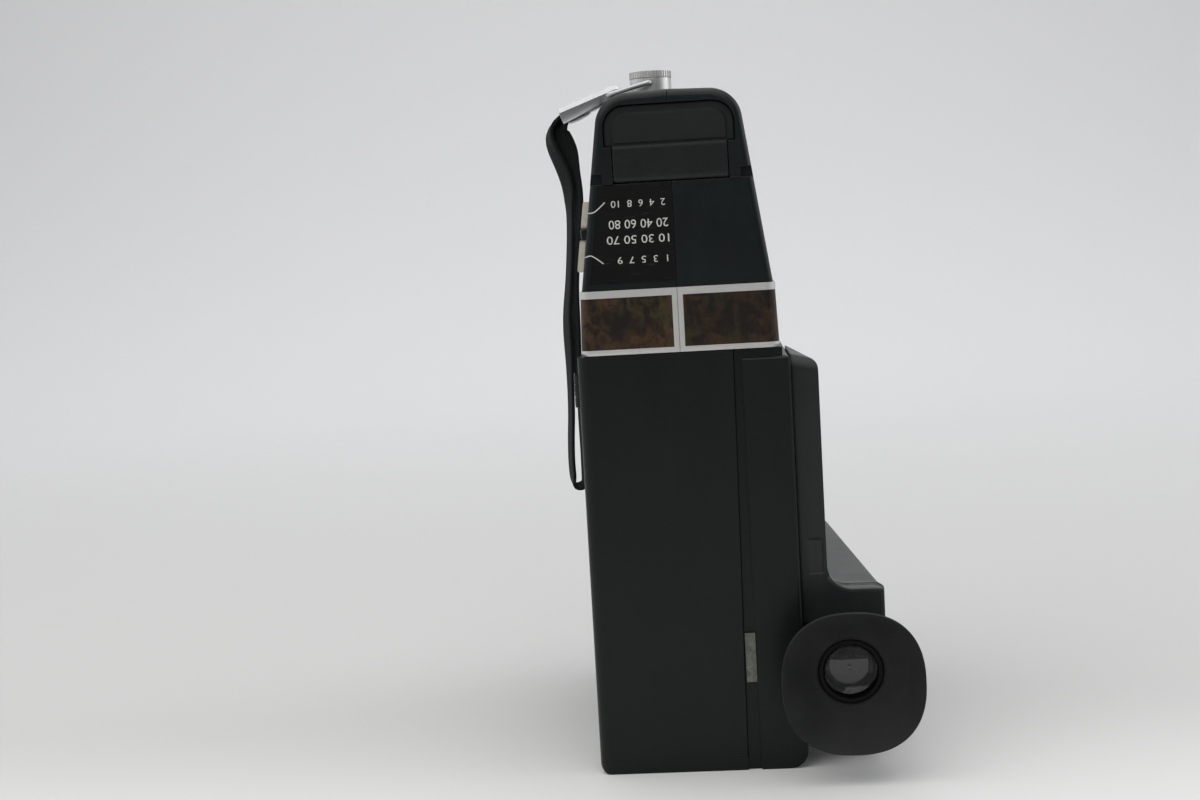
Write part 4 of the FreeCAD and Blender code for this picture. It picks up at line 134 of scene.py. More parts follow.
def carried(line, across, section):
    """Points of a section carried along a line.

    Row i is line[i] + u * across[i] + v * (tangent x across)[i] for each (u, v) of the section.
    """
    tangent = unit(np.gradient(line, axis=0))
    across = unit(across - tangent * np.sum(across * tangent, axis=1)[:, None])
    upward = np.cross(tangent, across)
    section = np.broadcast_to(section, (len(line),) + section.shape[-2:])
    return line[:, None] + section[..., 0:1] * across[:, None] + section[..., 1:2] * upward[:, None]


def rounded_section(half_width, half_height, power, count):
    """Closed superellipse |u/a|^p + |v/b|^p = 1, with its points bunched towards the corners."""
    angle = np.linspace(0, 2 * np.pi, count, endpoint=False)
    cosine, sine = np.cos(angle), np.sin(angle)
    reach = (np.abs(cosine) ** power + np.abs(sine) ** power) ** (-1 / power)
    return points(half_width * reach * cosine, half_height * reach * sine)


def cells_of(grid):
    """The four corners of each cell of a grid, in turn."""
    return np.stack([grid[:-1, :-1], grid[:-1, 1:], grid[1:, 1:], grid[1:, :-1]], 2)


def grid_object(name, grid, wrap_columns=True, wrap_rows=False, chart=None, sharp=40):
    """Object from a grid of points (rows, columns, 3), with quads between neighbours and its faces turned outwards.

    A tube gets a lid at each end. The sum over the faces of the volume between each and the origin is negative where
    they point inwards. chart gives each grid corner its place on a flat pattern, with one more row or column where
    the grid wraps.
    """
    rows, columns = grid.shape[:2]
    index = np.arange(rows * columns).reshape(rows, columns)
    if wrap_columns:
        index = np.concatenate([index, index[:, :1]], 1)
    if wrap_rows:
        index = np.concatenate([index, index[:1]], 0)
    quads = cells_of(index).reshape(-1, 4)
    places = grid.reshape(-1, 3)
    a, b, c, d = (places[quads[:, k]] for k in range(4))
    volume = np.sum(np.cross(a, b) * c + np.cross(a, c) * d)
    faces = quads.tolist()
    if wrap_columns and not wrap_rows:
        for lid in (index[0, :-1][::-1], index[-1, :-1]):
            faces.append(lid.tolist())
            volume += np.sum(np.cross(places[lid[1:-1]], places[lid[2:]]) @ places[lid[0]])
    mesh = bpy.data.meshes.new(name)
    mesh.from_pydata(places.tolist(), [], faces)
    if chart is not None:
        pattern = cells_of(chart).reshape(-1, 2)
        flat = np.zeros((len(mesh.loops), 2), np.float32)
        flat[:len(pattern)] = pattern
        mesh.uv_layers.new(name="pattern").data.foreach_set("uv", flat.ravel())
    if (wrap_columns or wrap_rows) and volume < 0:
        mesh.flip_normals()
    mesh.polygons.foreach_set("use_smooth", np.ones(len(mesh.polygons), bool))
    mesh.set_sharp_from_angle(angle=math.radians(sharp))
    mesh.update()
    made = bpy.data.objects.new(name, mesh)
    bpy.context.scene.collection.objects.link(made)
    return made


def add_piece(made, body, paint, stands_for=()):
    """A new piece takes its finish, rides on its body and stands for the named solids."""
    made.data.materials.append(paint)
    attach(made, body)
    if stands_for:
        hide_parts(*stands_for)


def merged(name, objects):
    """One object that holds the meshes of several, whose places are all in their meshes."""
    first = objects[0]
    with bpy.context.temp_override(active_object=first, object=first, selected_editable_objects=objects,
                                   selected_objects=objects):
        bpy.ops.object.join()
    first.name = name
    first.data.name = name
    return first


def curve_mesh(curve):
    """Mesh of a curve or text, with its vertices as rows of coordinates."""
    holder = bpy.data.objects.new("line", curve)
    mesh = bpy.data.meshes.new_from_object(holder)
    places = np.empty(len(mesh.vertices) * 3)
    mesh.vertices.foreach_get("co", places)
    bpy.data.objects.remove(holder)
    bpy.data.curves.remove(curve)
    return mesh, places.reshape(-1, 3)


def eased(controls, gap):
    """Corner-cutting NURBS line of third order through control points, read back as points more than a gap apart."""
    curve = bpy.data.curves.new("line", "CURVE")
    curve.dimensions = "3D"
    curve.resolution_u = 10
    spline = curve.splines.new("NURBS")
    spline.points.add(len(controls) - 1)
    for control, place in zip(spline.points, controls):
        control.co = (*place, 1)
    spline.order_u = 3
    spline.use_endpoint_u = True
    mesh, line = curve_mesh(curve)
    bpy.data.meshes.remove(mesh)
    keep = np.concatenate([[True], np.linalg.norm(np.diff(line, axis=0), axis=1) > gap])
    return line[keep]


# Shader maths


def answer(operation, swapped=False):
    """Method of a number in a material that adds the Math node of an operation."""
    def method(self, other=0.0):
        first, second = (other, self) if swapped else (self, other)
        return self.wiring.math(operation, first, second)
    return method


class Term:
    """A number in a material that answers to arithmetic; each sum or product adds its Math node."""

    def __init__(self, wiring, socket):
        self.wiring = wiring
        self.socket = socket

    __add__ = __radd__ = answer("ADD")
    __sub__ = answer("SUBTRACT")
    __rsub__ = answer("SUBTRACT", True)
    __mul__ = __rmul__ = answer("MULTIPLY")
    __truediv__ = answer("DIVIDE")
    __rtruediv__ = answer("DIVIDE", True)
    __abs__ = answer("ABSOLUTE")
    sine = answer("SINE")
    fraction = answer("FRACT")
    floor = answer("FLOOR")
    least = answer("MINIMUM")
    most = answer("MAXIMUM")

    def rise(self, low, high):
        """Smooth step from 0 at low to 1 at high; falls where low is above high."""
        at_low, at_high = (0.0, 1.0) if low < high else (1.0, 0.0)
        values = {"Value": self, "From Min": min(low, high), "From Max": max(low, high), "To Min": at_low,
                  "To Max": at_high}
        made = self.wiring.node("MapRange", {"interpolation_type": "SMOOTHSTEP"}, values)
        return Term(self.wiring, made.outputs["Result"])


class Wiring:
    """The nodes of a material or of the room, with one method that adds any node."""

    def __init__(self, owner):
        owner.use_nodes = True
        self.tree = owner.node_tree
        self.tree.nodes.clear()

    def node(self, kind, settings=None, values=None):
        """Adds a node: its settings come first, then the value or link of each socket, by name or number."""
        made = self.tree.nodes.new("ShaderNode" + kind)
        for name, value in (settings or {}).items():
            if name == "stops":
                while len(made.color_ramp.elements) < len(value):
                    made.color_ramp.elements.new(0.5)
                for element, (position, colour) in zip(made.color_ramp.elements, value):
                    element.position = position
                    element.color = (*colour, 1)
            else:
                setattr(made, name, value)
        for name, value in (values or {}).items():
            self.feed(made.inputs[name], value)
        return made

    def feed(self, socket, value):
        if isinstance(value, Term):
            value = value.socket
        if isinstance(value, bpy.types.NodeSocket):
            self.tree.links.new(value, socket)
        elif socket.type == "RGBA" and len(value) == 3:
            socket.default_value = (*value, 1)
        else:
            socket.default_value = value

    def math(self, operation, first, second):
        made = self.node("Math", {"operation": operation}, {0: first, 1: second})
        return Term(self, made.outputs[0])

    def parts(self, vector):
        made = self.node("SeparateXYZ", None, {0: vector})
        return [Term(self, made.outputs[k]) for k in range(3)]


class Paint(Wiring):
    """A material in the making, with its Principled surface and the object's coordinates."""

    def __init__(self, name):
        self.material = bpy.data.materials.new(name)
        super().__init__(self.material)
        self.surface = self.node("BsdfPrincipled")
        self.node("OutputMaterial", None, {"Surface": self.surface.outputs["BSDF"]})
        self.place = self.node("TexCoord").outputs["Object"]
        self.x, self.y, self.z = self.parts(self.place)

    def stretched(self, scale, turn=(0, 0, 0), shift=(0, 0, 0)):
        """The object's coordinates turned and scaled, so that a pattern runs long in one direction."""
        values = {"Vector": self.place, "Location": shift, "Rotation": turn, "Scale": scale}
        return self.node("Mapping", None, values).outputs[0]

    def noise(self, size, detail=2.0, roughness=0.5, distortion=0.0, where=None):
        """Cloudy pattern from 0 to 1 with features of a size in metres."""
        values = {"Vector": where or self.place, "Scale": 1.0 / size, "Detail": detail, "Roughness": roughness,
                  "Distortion": distortion}
        return Term(self, self.node("TexNoise", None, values).outputs[0])

    def cells(self, size):
        """Distance pattern of scattered cells of a size in metres."""
        values = {"Vector": self.place, "Scale": 1.0 / size}
        return Term(self, self.node("TexVoronoi", None, values).outputs["Distance"])

    def blend(self, share, first, second):
        return self.node("Mix", {"data_type": "RGBA"}, {0: share, 6: first, 7: second}).outputs[2]

    def ramp(self, share, stops):
        return self.node("ValToRGB", {"stops": stops}, {0: share}).outputs[0]

    def relief(self, height, depth, over=None):
        """Bump of a depth in metres, laid over another where one is given."""
        values = {"Height": height, "Distance": depth, "Strength": 1.0}
        if over is not None:
            values["Normal"] = over
        return self.node("Bump", None, values).outputs[0]

    def done(self, colour, roughness, relief=None, metallic=0.0, **fixed):
        """Feeds the surface and returns the material; fixed values go straight onto their sockets."""
        self.feed(self.surface.inputs["Base Color"], colour)
        self.feed(self.surface.inputs["Roughness"], roughness)
        self.feed(self.surface.inputs["Metallic"], metallic)
        if relief is not None:
            self.feed(self.surface.inputs["Normal"], relief)
        for name, value in fixed.items():
            self.feed(self.surface.inputs[name.replace("_", " ")], value)
        return self.material


def shade(colour, factor):
    return tuple(min(channel * factor, 1.0) for channel in colour[:3])


def moulded(name, colour, roughness, grain, smudge=0.1, gloss=0.5, edge=0.4 * MM):
    """Moulded plastic: softened edges, spark-eroded grain, handling smudges, faint pale specks and rubbed patches."""
    paint = Paint(name)
    fine = paint.noise(0.35 * MM, 2.0)
    pits = paint.cells(0.55 * MM)
    cloud = paint.noise(26 * MM, 3.0, 0.55)
    streak = paint.noise(9 * MM, 3.0, 0.6, 0.4, paint.stretched((1, 1, 0.22)))
    specks = paint.noise(1.1 * MM, 1.0).rise(0.79, 0.84) * paint.noise(14 * MM).rise(0.45, 0.7)
    tone = cloud * 0.5 + fine * 0.3 + streak * 0.2
    base = paint.blend(tone.rise(0.25, 0.75), shade(colour, 0.82), shade(colour, 1.2))
    base = paint.blend(specks * 0.3, base, (0.16, 0.16, 0.155))
    rough = roughness + (cloud - 0.5) * smudge + (streak - 0.5) * smudge + (fine - 0.5) * 0.06
    softened = paint.node("Bevel", {"samples": 6}, {"Radius": edge}).outputs[0]
    relief = paint.relief(fine * 0.6 + pits * 0.7, grain, softened)
    return paint.done(base, rough, relief, IOR=1.46, Specular_IOR_Level=gloss)


def satin_metal(name, colour, roughness, brushing, metallic, tarnish=0.25, depth=0.012 * MM):
    """Satin or bright metal: fine brushing along a direction, faint tarnish clouds and hairline scratches."""
    paint = Paint(name)
    brushed = paint.noise(0.12 * MM, 2.0, 0.6, 0.0, paint.stretched(brushing))
    cloud = paint.noise(7 * MM, 3.0, 0.6)
    hair = paint.noise(0.5 * MM, 1.0, 0.5, 0.6, paint.stretched((0.06, 1, 1), (0.3, 0.5, 0.2))).rise(0.7, 0.74)
    base = paint.blend(cloud.rise(0.35, 0.8) * tarnish, colour, shade(colour, 0.55))
    base = paint.blend(hair * 0.25, base, shade(colour, 1.25))
    rough = roughness + (brushed - 0.5) * 0.16 + (cloud - 0.5) * 0.12
    relief = paint.relief(brushed - hair * 0.3, depth)
    return paint.done(base, rough, relief, metallic)


def burl_wood(name, dark, light):
    """Burl under lacquer: amber and olive clouds, black mottles run together in the middle, streaks and pores."""
    paint = Paint(name)
    cloud = paint.noise(9 * MM, 4.0, 0.6, 0.9, paint.stretched((1, 1, 0.75), (0.2, 0.5, 0.1)))
    streak = paint.noise(2.6 * MM, 4.0, 0.65, 0.8, paint.stretched((1, 1, 0.34), (0.1, 0.3, 0.0)))
    fleck = paint.noise(1.3 * MM, 3.0, 0.7, 0.4, paint.stretched((1, 1, 0.6), (0, -0.4, 0.3)))
    blotch = paint.noise(5.5 * MM, 5.0, 0.66, 0.9, paint.stretched((1, 1, 0.8), (0, 0.2, 0.3), (0.4, 0.1, 0.2)))
    tint = paint.noise(15 * MM, 3.0, 0.6, 0.6, paint.stretched((1, 1, 1), (0, 0, 0), (0.7, 0.2, 0.9)))
    # Distance from the middle of a panel, 0 there and 1 at its ends
    across = abs(abs(paint.x) - PANEL_MM[0] * MM) / (PANEL_HALF_MM[0] * MM)
    along = abs(paint.z - PANEL_MM[1] * MM) / (PANEL_HALF_MM[1] * MM)
    away = across.most(along).least(1.0)
    share = cloud * 0.45 + streak * 0.35 + fleck * 0.25 + away * 0.1
    stops = [(0.0, shade(dark, 0.5)), (0.4, dark), (0.54, shade(light, 0.55)), (0.72, light)]
    figure = paint.ramp(share, stops)
    olive = paint.blend(streak, shade((light[0] * 0.45, light[0] * 0.42, light[2]), 0.8), (0.05, 0.042, 0.012))
    figure = paint.blend(tint.rise(0.5, 0.62) * 0.75, figure, olive)
    patch = (blotch * 0.7 + streak * 0.3 - away * 0.12).rise(0.33, 0.5)
    figure = paint.blend(patch * 0.9, figure, shade(dark, 0.6))
    # The right panel comes from a darker leaf of veneer
    figure = paint.blend(paint.x.rise(-1 * MM, 1 * MM) * 0.4, figure, shade(dark, 0.8))
    rough = 0.34 + fleck * 0.14
    relief = paint.relief(fleck * 0.5 + blotch * 0.5, 0.02 * MM)
    return paint.done(figure, rough, relief, Coat_Weight=0.15, Coat_Roughness=0.24, Specular_IOR_Level=0.25)


def clear_glass(name, tint, roughness=0.02):
    """Coated glass with faint dust and a wipe mark."""
    paint = Paint(name)
    dust = paint.noise(0.5 * MM, 2.0).rise(0.7, 0.8) * 0.2
    wipe = paint.noise(3.5 * MM, 2.0, 0.6, 1.2, paint.stretched((1, 1, 0.3), (0, 0.7, 0)))
    rough = roughness + dust * 0.5 + wipe.rise(0.55, 0.85) * 0.05
    return paint.done(tint, rough, None, 0.0, Transmission_Weight=1.0, IOR=1.5)


def webbing(name, colour):
    """Woven nylon: cross ribs with a running twill, raised edges and a little fluff, on the strap's own pattern."""
    paint = Paint(name)
    flat = paint.node("UVMap", {"uv_map": "pattern"}).outputs[0]
    across, along, _ = paint.parts(flat)
    ribs = (along * (2 * math.pi / (0.85 * MM))).sine()
    twill = ((along + across * 0.9) * (2 * math.pi / (0.6 * MM))).sine()
    warp = (across * (2 * math.pi / (0.5 * MM))).sine()
    fluff = paint.noise(0.9 * MM, 3.0, 0.7)
    height = ribs * 0.35 + twill * 0.35 + warp * 0.2 + fluff * 0.5
    # Painted shade and highlight: the colour follows the weave's height, darker in the grooves and paler on the
    # crests and fluff
    tone = height.rise(-0.5, 1.0)
    base = paint.blend(tone, shade(colour, 0.55), shade(colour, 1.6))
    return paint.done(base, 0.78 + fluff * 0.14, paint.relief(height, 0.09 * MM), Sheen_Weight=0.1,
                      Sheen_Roughness=0.45, Sheen_Tint=(0.5, 0.52, 0.55), Specular_IOR_Level=0.25)


def moulded_rubber(name, colour):
    """Matt rubber with a fine skin, chalky bloom in patches and a few lint specks."""
    paint = Paint(name)
    skin = paint.noise(0.4 * MM, 3.0, 0.65)
    bloom = paint.noise(17 * MM, 4.0, 0.6, 0.5)
    lint = paint.noise(0.8 * MM, 1.0).rise(0.78, 0.83)
    base = paint.blend(bloom.rise(0.35, 0.75), shade(colour, 0.8), shade(colour, 1.35))
    base = paint.blend(lint * 0.25, base, (0.12, 0.12, 0.115))
    return paint.done(base, 0.66 + bloom * 0.14, paint.relief(skin, 0.05 * MM), Specular_IOR_Level=0.3)


def enamelled(name, colour, roughness, gloss=0.45):
    """Thin black enamel with orange peel, dust and rubbed spots."""
    paint = Paint(name)
    peel = paint.noise(0.9 * MM, 1.0)
    rub = paint.noise(10 * MM, 4.0, 0.6)
    base = paint.blend(rub.rise(0.4, 0.8) * 0.5, colour, shade(colour, 1.7))
    return paint.done(base, roughness + (rub - 0.5) * 0.2, paint.relief(peel, 0.02 * MM), Specular_IOR_Level=gloss)


def aged_cream(name, colour):
    """Cream switch plastic that has yellowed, with patches of grime, and painted shade that darkens the valley
    between its pads.
    """
    paint = Paint(name)
    grime = paint.noise(2.2 * MM, 4.0, 0.65)
    # Painted shade: the valley in the middle of the rocker, between its pads, is painted dark in the grime's colour
    middle = abs(paint.z - ROCKER_MM[1] * MM).rise(3.6 * MM, 1.6 * MM)
    grime_and_valley_shade = (middle * 0.8 + grime.rise(0.5, 0.8) * 0.4).least(1.0)
    base = paint.blend(grime, colour, shade(colour, 0.85))
    base = paint.blend(grime_and_valley_shade, base, (0.12, 0.11, 0.085))
    ribs = (paint.z * (2 * math.pi / (1.2 * MM))).sine()
    return paint.done(base, 0.4 + grime * 0.15, paint.relief(ribs * 0.3 + grime * 0.2, 0.06 * MM))


def worn_latch(name, colour):
    """Grey cast metal whose paint has worn through in flecks."""
    paint = Paint(name)
    patch = paint.noise(2.6 * MM, 4.0, 0.65, 0.6)
    fleck = paint.noise(0.7 * MM, 3.0, 0.7)
    base = paint.blend(patch.rise(0.35, 0.7), shade(colour, 0.75), shade(colour, 1.5))
    base = paint.blend(fleck.rise(0.58, 0.7) * 0.5, base, shade(colour, 2.2))
    rough = 0.5 + (patch - 0.5) * 0.25
    return paint.done(base, rough, paint.relief(fleck + patch, 0.04 * MM), 0.35)


def label_film(name, colour):
    """Black printed plate: smooth lacquer with fine scratches."""
    paint = Paint(name)
    scratch = paint.noise(0.4 * MM, 1.0, 0.5, 0.8, paint.stretched((0.08, 1, 1), (0, 0.7, 0))).rise(0.68, 0.72)
    cloud = paint.noise(12 * MM, 3.0)
    base = paint.blend(cloud, shade(colour, 0.85), shade(colour, 1.3))
    base = paint.blend(scratch * 0.25, base, (0.06, 0.06, 0.06))
    return paint.done(base, 0.36 + cloud * 0.12, paint.relief(scratch * -1.0, 0.01 * MM), Specular_IOR_Level=0.16)


def printed(name, colour):
    """White print, a little worn and uneven."""
    paint = Paint(name)
    wear = paint.noise(0.7 * MM, 3.0, 0.65)
    base = paint.blend(wear.rise(0.4, 0.8) * 0.65, colour, shade(colour, 0.4))
    return paint.done(base, 0.5 + wear * 0.2)


def wrapped_cell(name, wrap, band):
    """Battery cell: a printed wrapper with a coloured shoulder band, and bare steel at both ends."""
    paint = Paint(name)
    rub = paint.noise(3 * MM, 4.0, 0.6)
    # How far behind the origin the shoulder band and the two bare ends start
    band_start, rear_end, front_end = 60.0 * MM, 69.2 * MM, 20.8 * MM
    shoulder = (paint.y + band_start).rise(0.4 * MM, -0.4 * MM)
    bare = (paint.y + rear_end).rise(0.15 * MM, -0.15 * MM).most((paint.y + front_end).rise(-0.1 * MM, 0.1 * MM))
    base = paint.blend(shoulder, wrap, band)
    base = paint.blend(bare, base, (0.6, 0.6, 0.58))
    base = paint.blend(rub.rise(0.55, 0.8) * 0.3, base, (0.3, 0.3, 0.3))
    return paint.done(base, 0.3 + rub * 0.15, None, bare * 0.9)


def circuit_lacquer(name):
    """Circuit board: green lacquer over copper tracks, with pale pads."""
    paint = Paint(name)
    lane = (paint.z * (1 / (3.0 * MM))).floor()
    wander = paint.noise(9 * MM, 1.0) * 6 * MM
    track = abs(((paint.y + wander + lane * 0.7 * MM) * (1 / (2.4 * MM))).fraction() - 0.5).rise(0.2, 0.15)
    pad = paint.cells(3.4 * MM).rise(0.17, 0.14)
    base = paint.blend(track, (0.012, 0.05, 0.022), (0.03, 0.11, 0.045))
    base = paint.blend(pad, base, (0.5, 0.5, 0.47))
    return paint.done(base, 0.32 + pad * 0.1, paint.relief(track + pad, 0.05 * MM), pad * 0.8)


def coat(paint, *names):
    """Gives the named CAD nodes this finish."""
    for name in names:
        mesh = NODES[name].data
        mesh.materials.clear()
        mesh.materials.append(paint)


# Settings that a user would change


def colour_setting(name, text, value):
    return bpy.props.FloatVectorProperty(name=name, description=text, subtype="COLOR", size=3, min=0, max=1,
                                         default=value)


def number_setting(name, text, value, **more):
    return bpy.props.FloatProperty(name=name, description=text, default=value, **more)


def length_setting(name, text, value):
    return number_setting(name, text, value, subtype="DISTANCE", unit="LENGTH", min=0)


class FinishSettings(bpy.types.PropertyGroup):
    """Colours of the camera's finishes."""

    housing: colour_setting("Housing", "Blackish green plastic of the housing", (0.0062, 0.008, 0.0077))
    # Paler than the housing: partly the finder's own tint, partly painted light standing for the floor light on the
    # finder
    finder: colour_setting("Finder", "Plastic of the finder housing", (0.014, 0.0172, 0.017))
    grip: colour_setting("Grip", "Plastic of the grip shells", (0.0064, 0.0092, 0.0096))
    battery_door: colour_setting("Battery door", "Warmer plastic of the battery door", (0.0125, 0.0145, 0.014))
    eyecup: colour_setting("Eyecup", "Matt rubber of the eyecup", (0.0125, 0.0135, 0.0132))
    trim: colour_setting("Trim", "Satin metal of the trim frames", (0.64, 0.64, 0.63))
    wood_dark: colour_setting("Dark wood", "Dark figure of the burl panels", (0.009, 0.0066, 0.0048))
    wood_light: colour_setting("Light wood", "Light figure of the burl panels", (0.072, 0.036, 0.0155))
    switch: colour_setting("Switch", "Cream plastic of the sensitivity rocker", (0.58, 0.55, 0.46))
    latch: colour_setting("Latch", "Grey metal of the door latch", (0.125, 0.127, 0.11))
    label: colour_setting("Label", "Black of the label plate", (0.0042, 0.0045, 0.0042))
    ink: colour_setting("Print", "White print on the label plate", (0.62, 0.62, 0.6))
    strap: colour_setting("Strap", "Black nylon of the wrist strap", (0.0045, 0.0054, 0.0056))


class StrapSettings(bpy.types.PropertyGroup):
    """Sizes of the wrist strap and its clamp."""

    width: length_setting("Width", "Width of the webbing", 7.0 * MM)
    thickness: length_setting("Thickness", "Thickness of the webbing", 1.5 * MM)
    twist: number_setting("Twist", "Share of the measured lean of the strands", 1.0, min=0, max=1)
    clamp_width: length_setting("Clamp width", "Width of the folded clamp", 10.0 * MM)
    clamp_thickness: length_setting("Clamp thickness", "Thickness of the folded clamp", 5.6 * MM)


class EyecupSettings(bpy.types.PropertyGroup):
    """Sizes of the rubber eyecup."""

    half_width: length_setting("Half width", "Half width of the rim", 25.6 * MM)
    half_height: length_setting("Half height", "Half height of the rim", 25.9 * MM)
    rim_drop: length_setting("Drop", "How far the rim sags below the eyepiece's axis", 1.5 * MM)
    squareness: number_setting("Squareness", "Power of the rim's outline; 2 is a circle", 2.4, min=2, max=4)
    rim_behind: length_setting("Rim", "How far the rim stands behind the rear face", 24.0 * MM)
    lip: length_setting("Lip", "Thickness of the rim's rolled lip", 2.2 * MM)


class LabelSettings(bpy.types.PropertyGroup):
    """Sizes of the print on the label plate and of the door's thumb ribs."""

    figure_scale: number_setting("Figure scale", "Height of the figures, 1 as measured", 1.0, min=0.5, max=1.5)
    stroke: length_setting("Stroke", "Width of the pointer lines", 0.42 * MM)
    rib_pitch: length_setting("Rib pitch", "Pitch of the thumb ribs on the battery door", 0.92 * MM)
    rib_height: length_setting("Rib height", "Height of the thumb ribs on the battery door", 0.025 * MM)


class StageSettings(bpy.types.PropertyGroup):
    """Camera, floor and lamps."""

    lens: number_setting("Lens", "Focal length of the view", 52.2, subtype="DISTANCE_CAMERA")
    floor: colour_setting("Floor", "Pale floor round the camera", (0.612, 0.609, 0.605))
    backdrop: colour_setting("Backdrop", "Pale backdrop, which gets less light than the floor", (0.92, 0.92, 0.93))
    sky: number_setting("Room light", "Strength of the even light of the room", 0.66)
    behind: number_setting("Behind the viewer", "Share of the room light left there", 0.06, min=0, max=1)
    top_light: number_setting("Top light", "Power of the wide lamp overhead", 25.0, subtype="POWER")
    wall_light: number_setting("Wall light", "Power of the lamp over the backdrop", 8.5, subtype="POWER")
    side_light: number_setting("Side light", "Power of the lamp on the right", 3.0, subtype="POWER")


# Pieces


def grip_half(z):
    """Half width of the tapering grip at a height, in millimetres."""
    slope = (GRIP_HALF_LOW_MM - GRIP_HALF_TOP_MM) / GRIP_HEIGHT_MM
    return GRIP_HALF_LOW_MM - (z - BAND_TOP_MM) * slope


def clamp_axes():
    """Left end, direction and upward normal of the clamp in the strap's plane, with its length."""
    left, right = (np.array([x, STRAP_MIDDLE_MM, z]) * MM for x, z in (CLAMP_LEFT_MM, CLAMP_RIGHT_MM))
    length = np.linalg.norm(right - left)
    along = (right - left) / length
    return left, along, np.array([-along[2], 0.0, along[0]]), length


def strap_line():
    """Middle line of the strap as points, from inside the clamp round the loop and back."""
    left, along, upward, _ = clamp_axes()
    inside = left + along * 3 * MM
    half_gap = upward * 0.9 * MM
    route = [np.array([SIDE_MM - beyond, STRAP_MIDDLE_MM, CLAMP_LEFT_MM[1] - below]) * MM
             for beyond, below in STRAP_ROUTE_MM]
    return eased([inside + half_gap] + route + [inside - half_gap], 0.02 * MM)


def aim(place, target):
    """Matrix of a lamp at a place that looks at a target."""
    away = Vector(place) - Vector(target)
    return Matrix.Translation(place) @ away.to_track_quat("Z", "Y").to_matrix().to_4x4()


class CAMERA_OT_stage(bpy.types.Operator):
    """View, pale floor with its backdrop, room light and lamps"""

    bl_idname = "movie_camera.stage"
    bl_label = "Stage"

    def execute(self, context):
        settings = context.scene.movie_camera_stage
        scene = context.scene
        ahead = Vector(VIEW_AHEAD).normalized()
        right = Vector(VIEW_RIGHT).normalized()
        upward = right.cross(ahead).normalized()
        view = bpy.data.cameras.new("view")
        view.lens = settings.lens
        view.sensor_width = 36
        view.clip_start = 0.01
        eye = bpy.data.objects.new("view", view)
        turn = Matrix((right, upward, -ahead)).transposed().to_4x4()
        eye.matrix_world = Matrix.Translation(VIEW_PLACE) @ turn
        scene.collection.objects.link(eye)
        scene.camera = eye
        scene.view_settings.view_transform = "Standard"

        # A seamless sweep: flat floor, quarter circle, upright wall
        floor_start, wall_y, wall_top, half_width, radius = -1.2, 1.9, 2.6, 3.0, 0.7
        bend = np.linspace(0, np.pi / 2, 24)
        profile = np.concatenate([
            points(np.linspace(floor_start, wall_y - radius, 12), 0.0),
            points(wall_y - radius + radius * np.sin(bend), radius * (1 - np.cos(bend)))[1:],
            points(wall_y, np.linspace(radius, wall_top, 6))[1:],
        ])
        grid = points(np.linspace(-half_width, half_width, 9), profile[:, 0:1], profile[:, 1:2])
        sweep = grid_object("floor", grid, wrap_columns=False)
        paint = Paint("pale_sweep")
        tone = paint.noise(0.5, 3.0, 0.5)
        near = paint.blend(tone, shade(settings.floor, 0.97), shade(settings.floor, 1.02))
        # Painted light: the floor just in front of the camera is painted paler, lifting the object's shadow there
        near = paint.blend(paint.y.rise(0.03, -0.16), near, shade(settings.floor, 1.22))
        colour = paint.blend(paint.y.rise(0.1, 1.7), near, settings.backdrop)
        paint.done(colour, 0.9 + tone * 0.05, None, Specular_IOR_Level=0.2)
        sweep.data.materials.append(paint.material)

        # The room: even light from above, ahead and the sides, dim behind the viewer
        world = bpy.data.worlds.new("room")
        room = Wiring(world)
        depth = room.parts(room.node("TexCoord").outputs["Generated"])[1]
        limits = {"Value": depth, "From Min": -0.75, "From Max": -0.1, "To Min": settings.sky * settings.behind,
                  "To Max": settings.sky}
        dimmed = room.node("MapRange", {"interpolation_type": "SMOOTHSTEP"}, limits).outputs["Result"]
        # Seen straight on or through glass, the room is evenly pale on every side
        rays = room.node("LightPath").outputs
        straight = room.math("MAXIMUM", rays["Is Camera Ray"], rays["Is Transmission Ray"])
        shown = room.node("MapRange", None, {"Value": straight, "To Min": dimmed, "To Max": settings.sky})
        light = room.node("Background", None, {"Color": (0.96, 0.98, 1.0), "Strength": shown.outputs["Result"]})
        room.node("OutputWorld", None, {"Surface": light.outputs[0]})
        scene.world = world

        # Lamps, as (name, place, target, size, power, colour)
        lamps = [
            ("top_lamp", (-0.3, -0.7, 1.4), (0.0, 0.05, 0.0), 2.4, settings.top_light, (1.0, 0.99, 0.97)),
            ("side_lamp", (1.25, 0.15, 0.75), (0.0, 0.0, 0.12), 0.9, settings.side_light, (0.97, 0.985, 1.0)),
            ("wall_lamp", (0.0, 1.0, 2.3), (0.0, 1.9, 0.7), 1.6, settings.wall_light, (0.98, 0.99, 1.0)),
        ]
        for name, place, target, size, power, colour in lamps:
            light = bpy.data.lights.new(name, "AREA")
            light.shape = "SQUARE"
            light.size = size
            light.energy = power
            light.color = colour
            lamp = bpy.data.objects.new(name, light)
            lamp.matrix_world = aim(place, target)
            lamp.visible_camera = False
            scene.collection.objects.link(lamp)
        return {"FINISHED"}


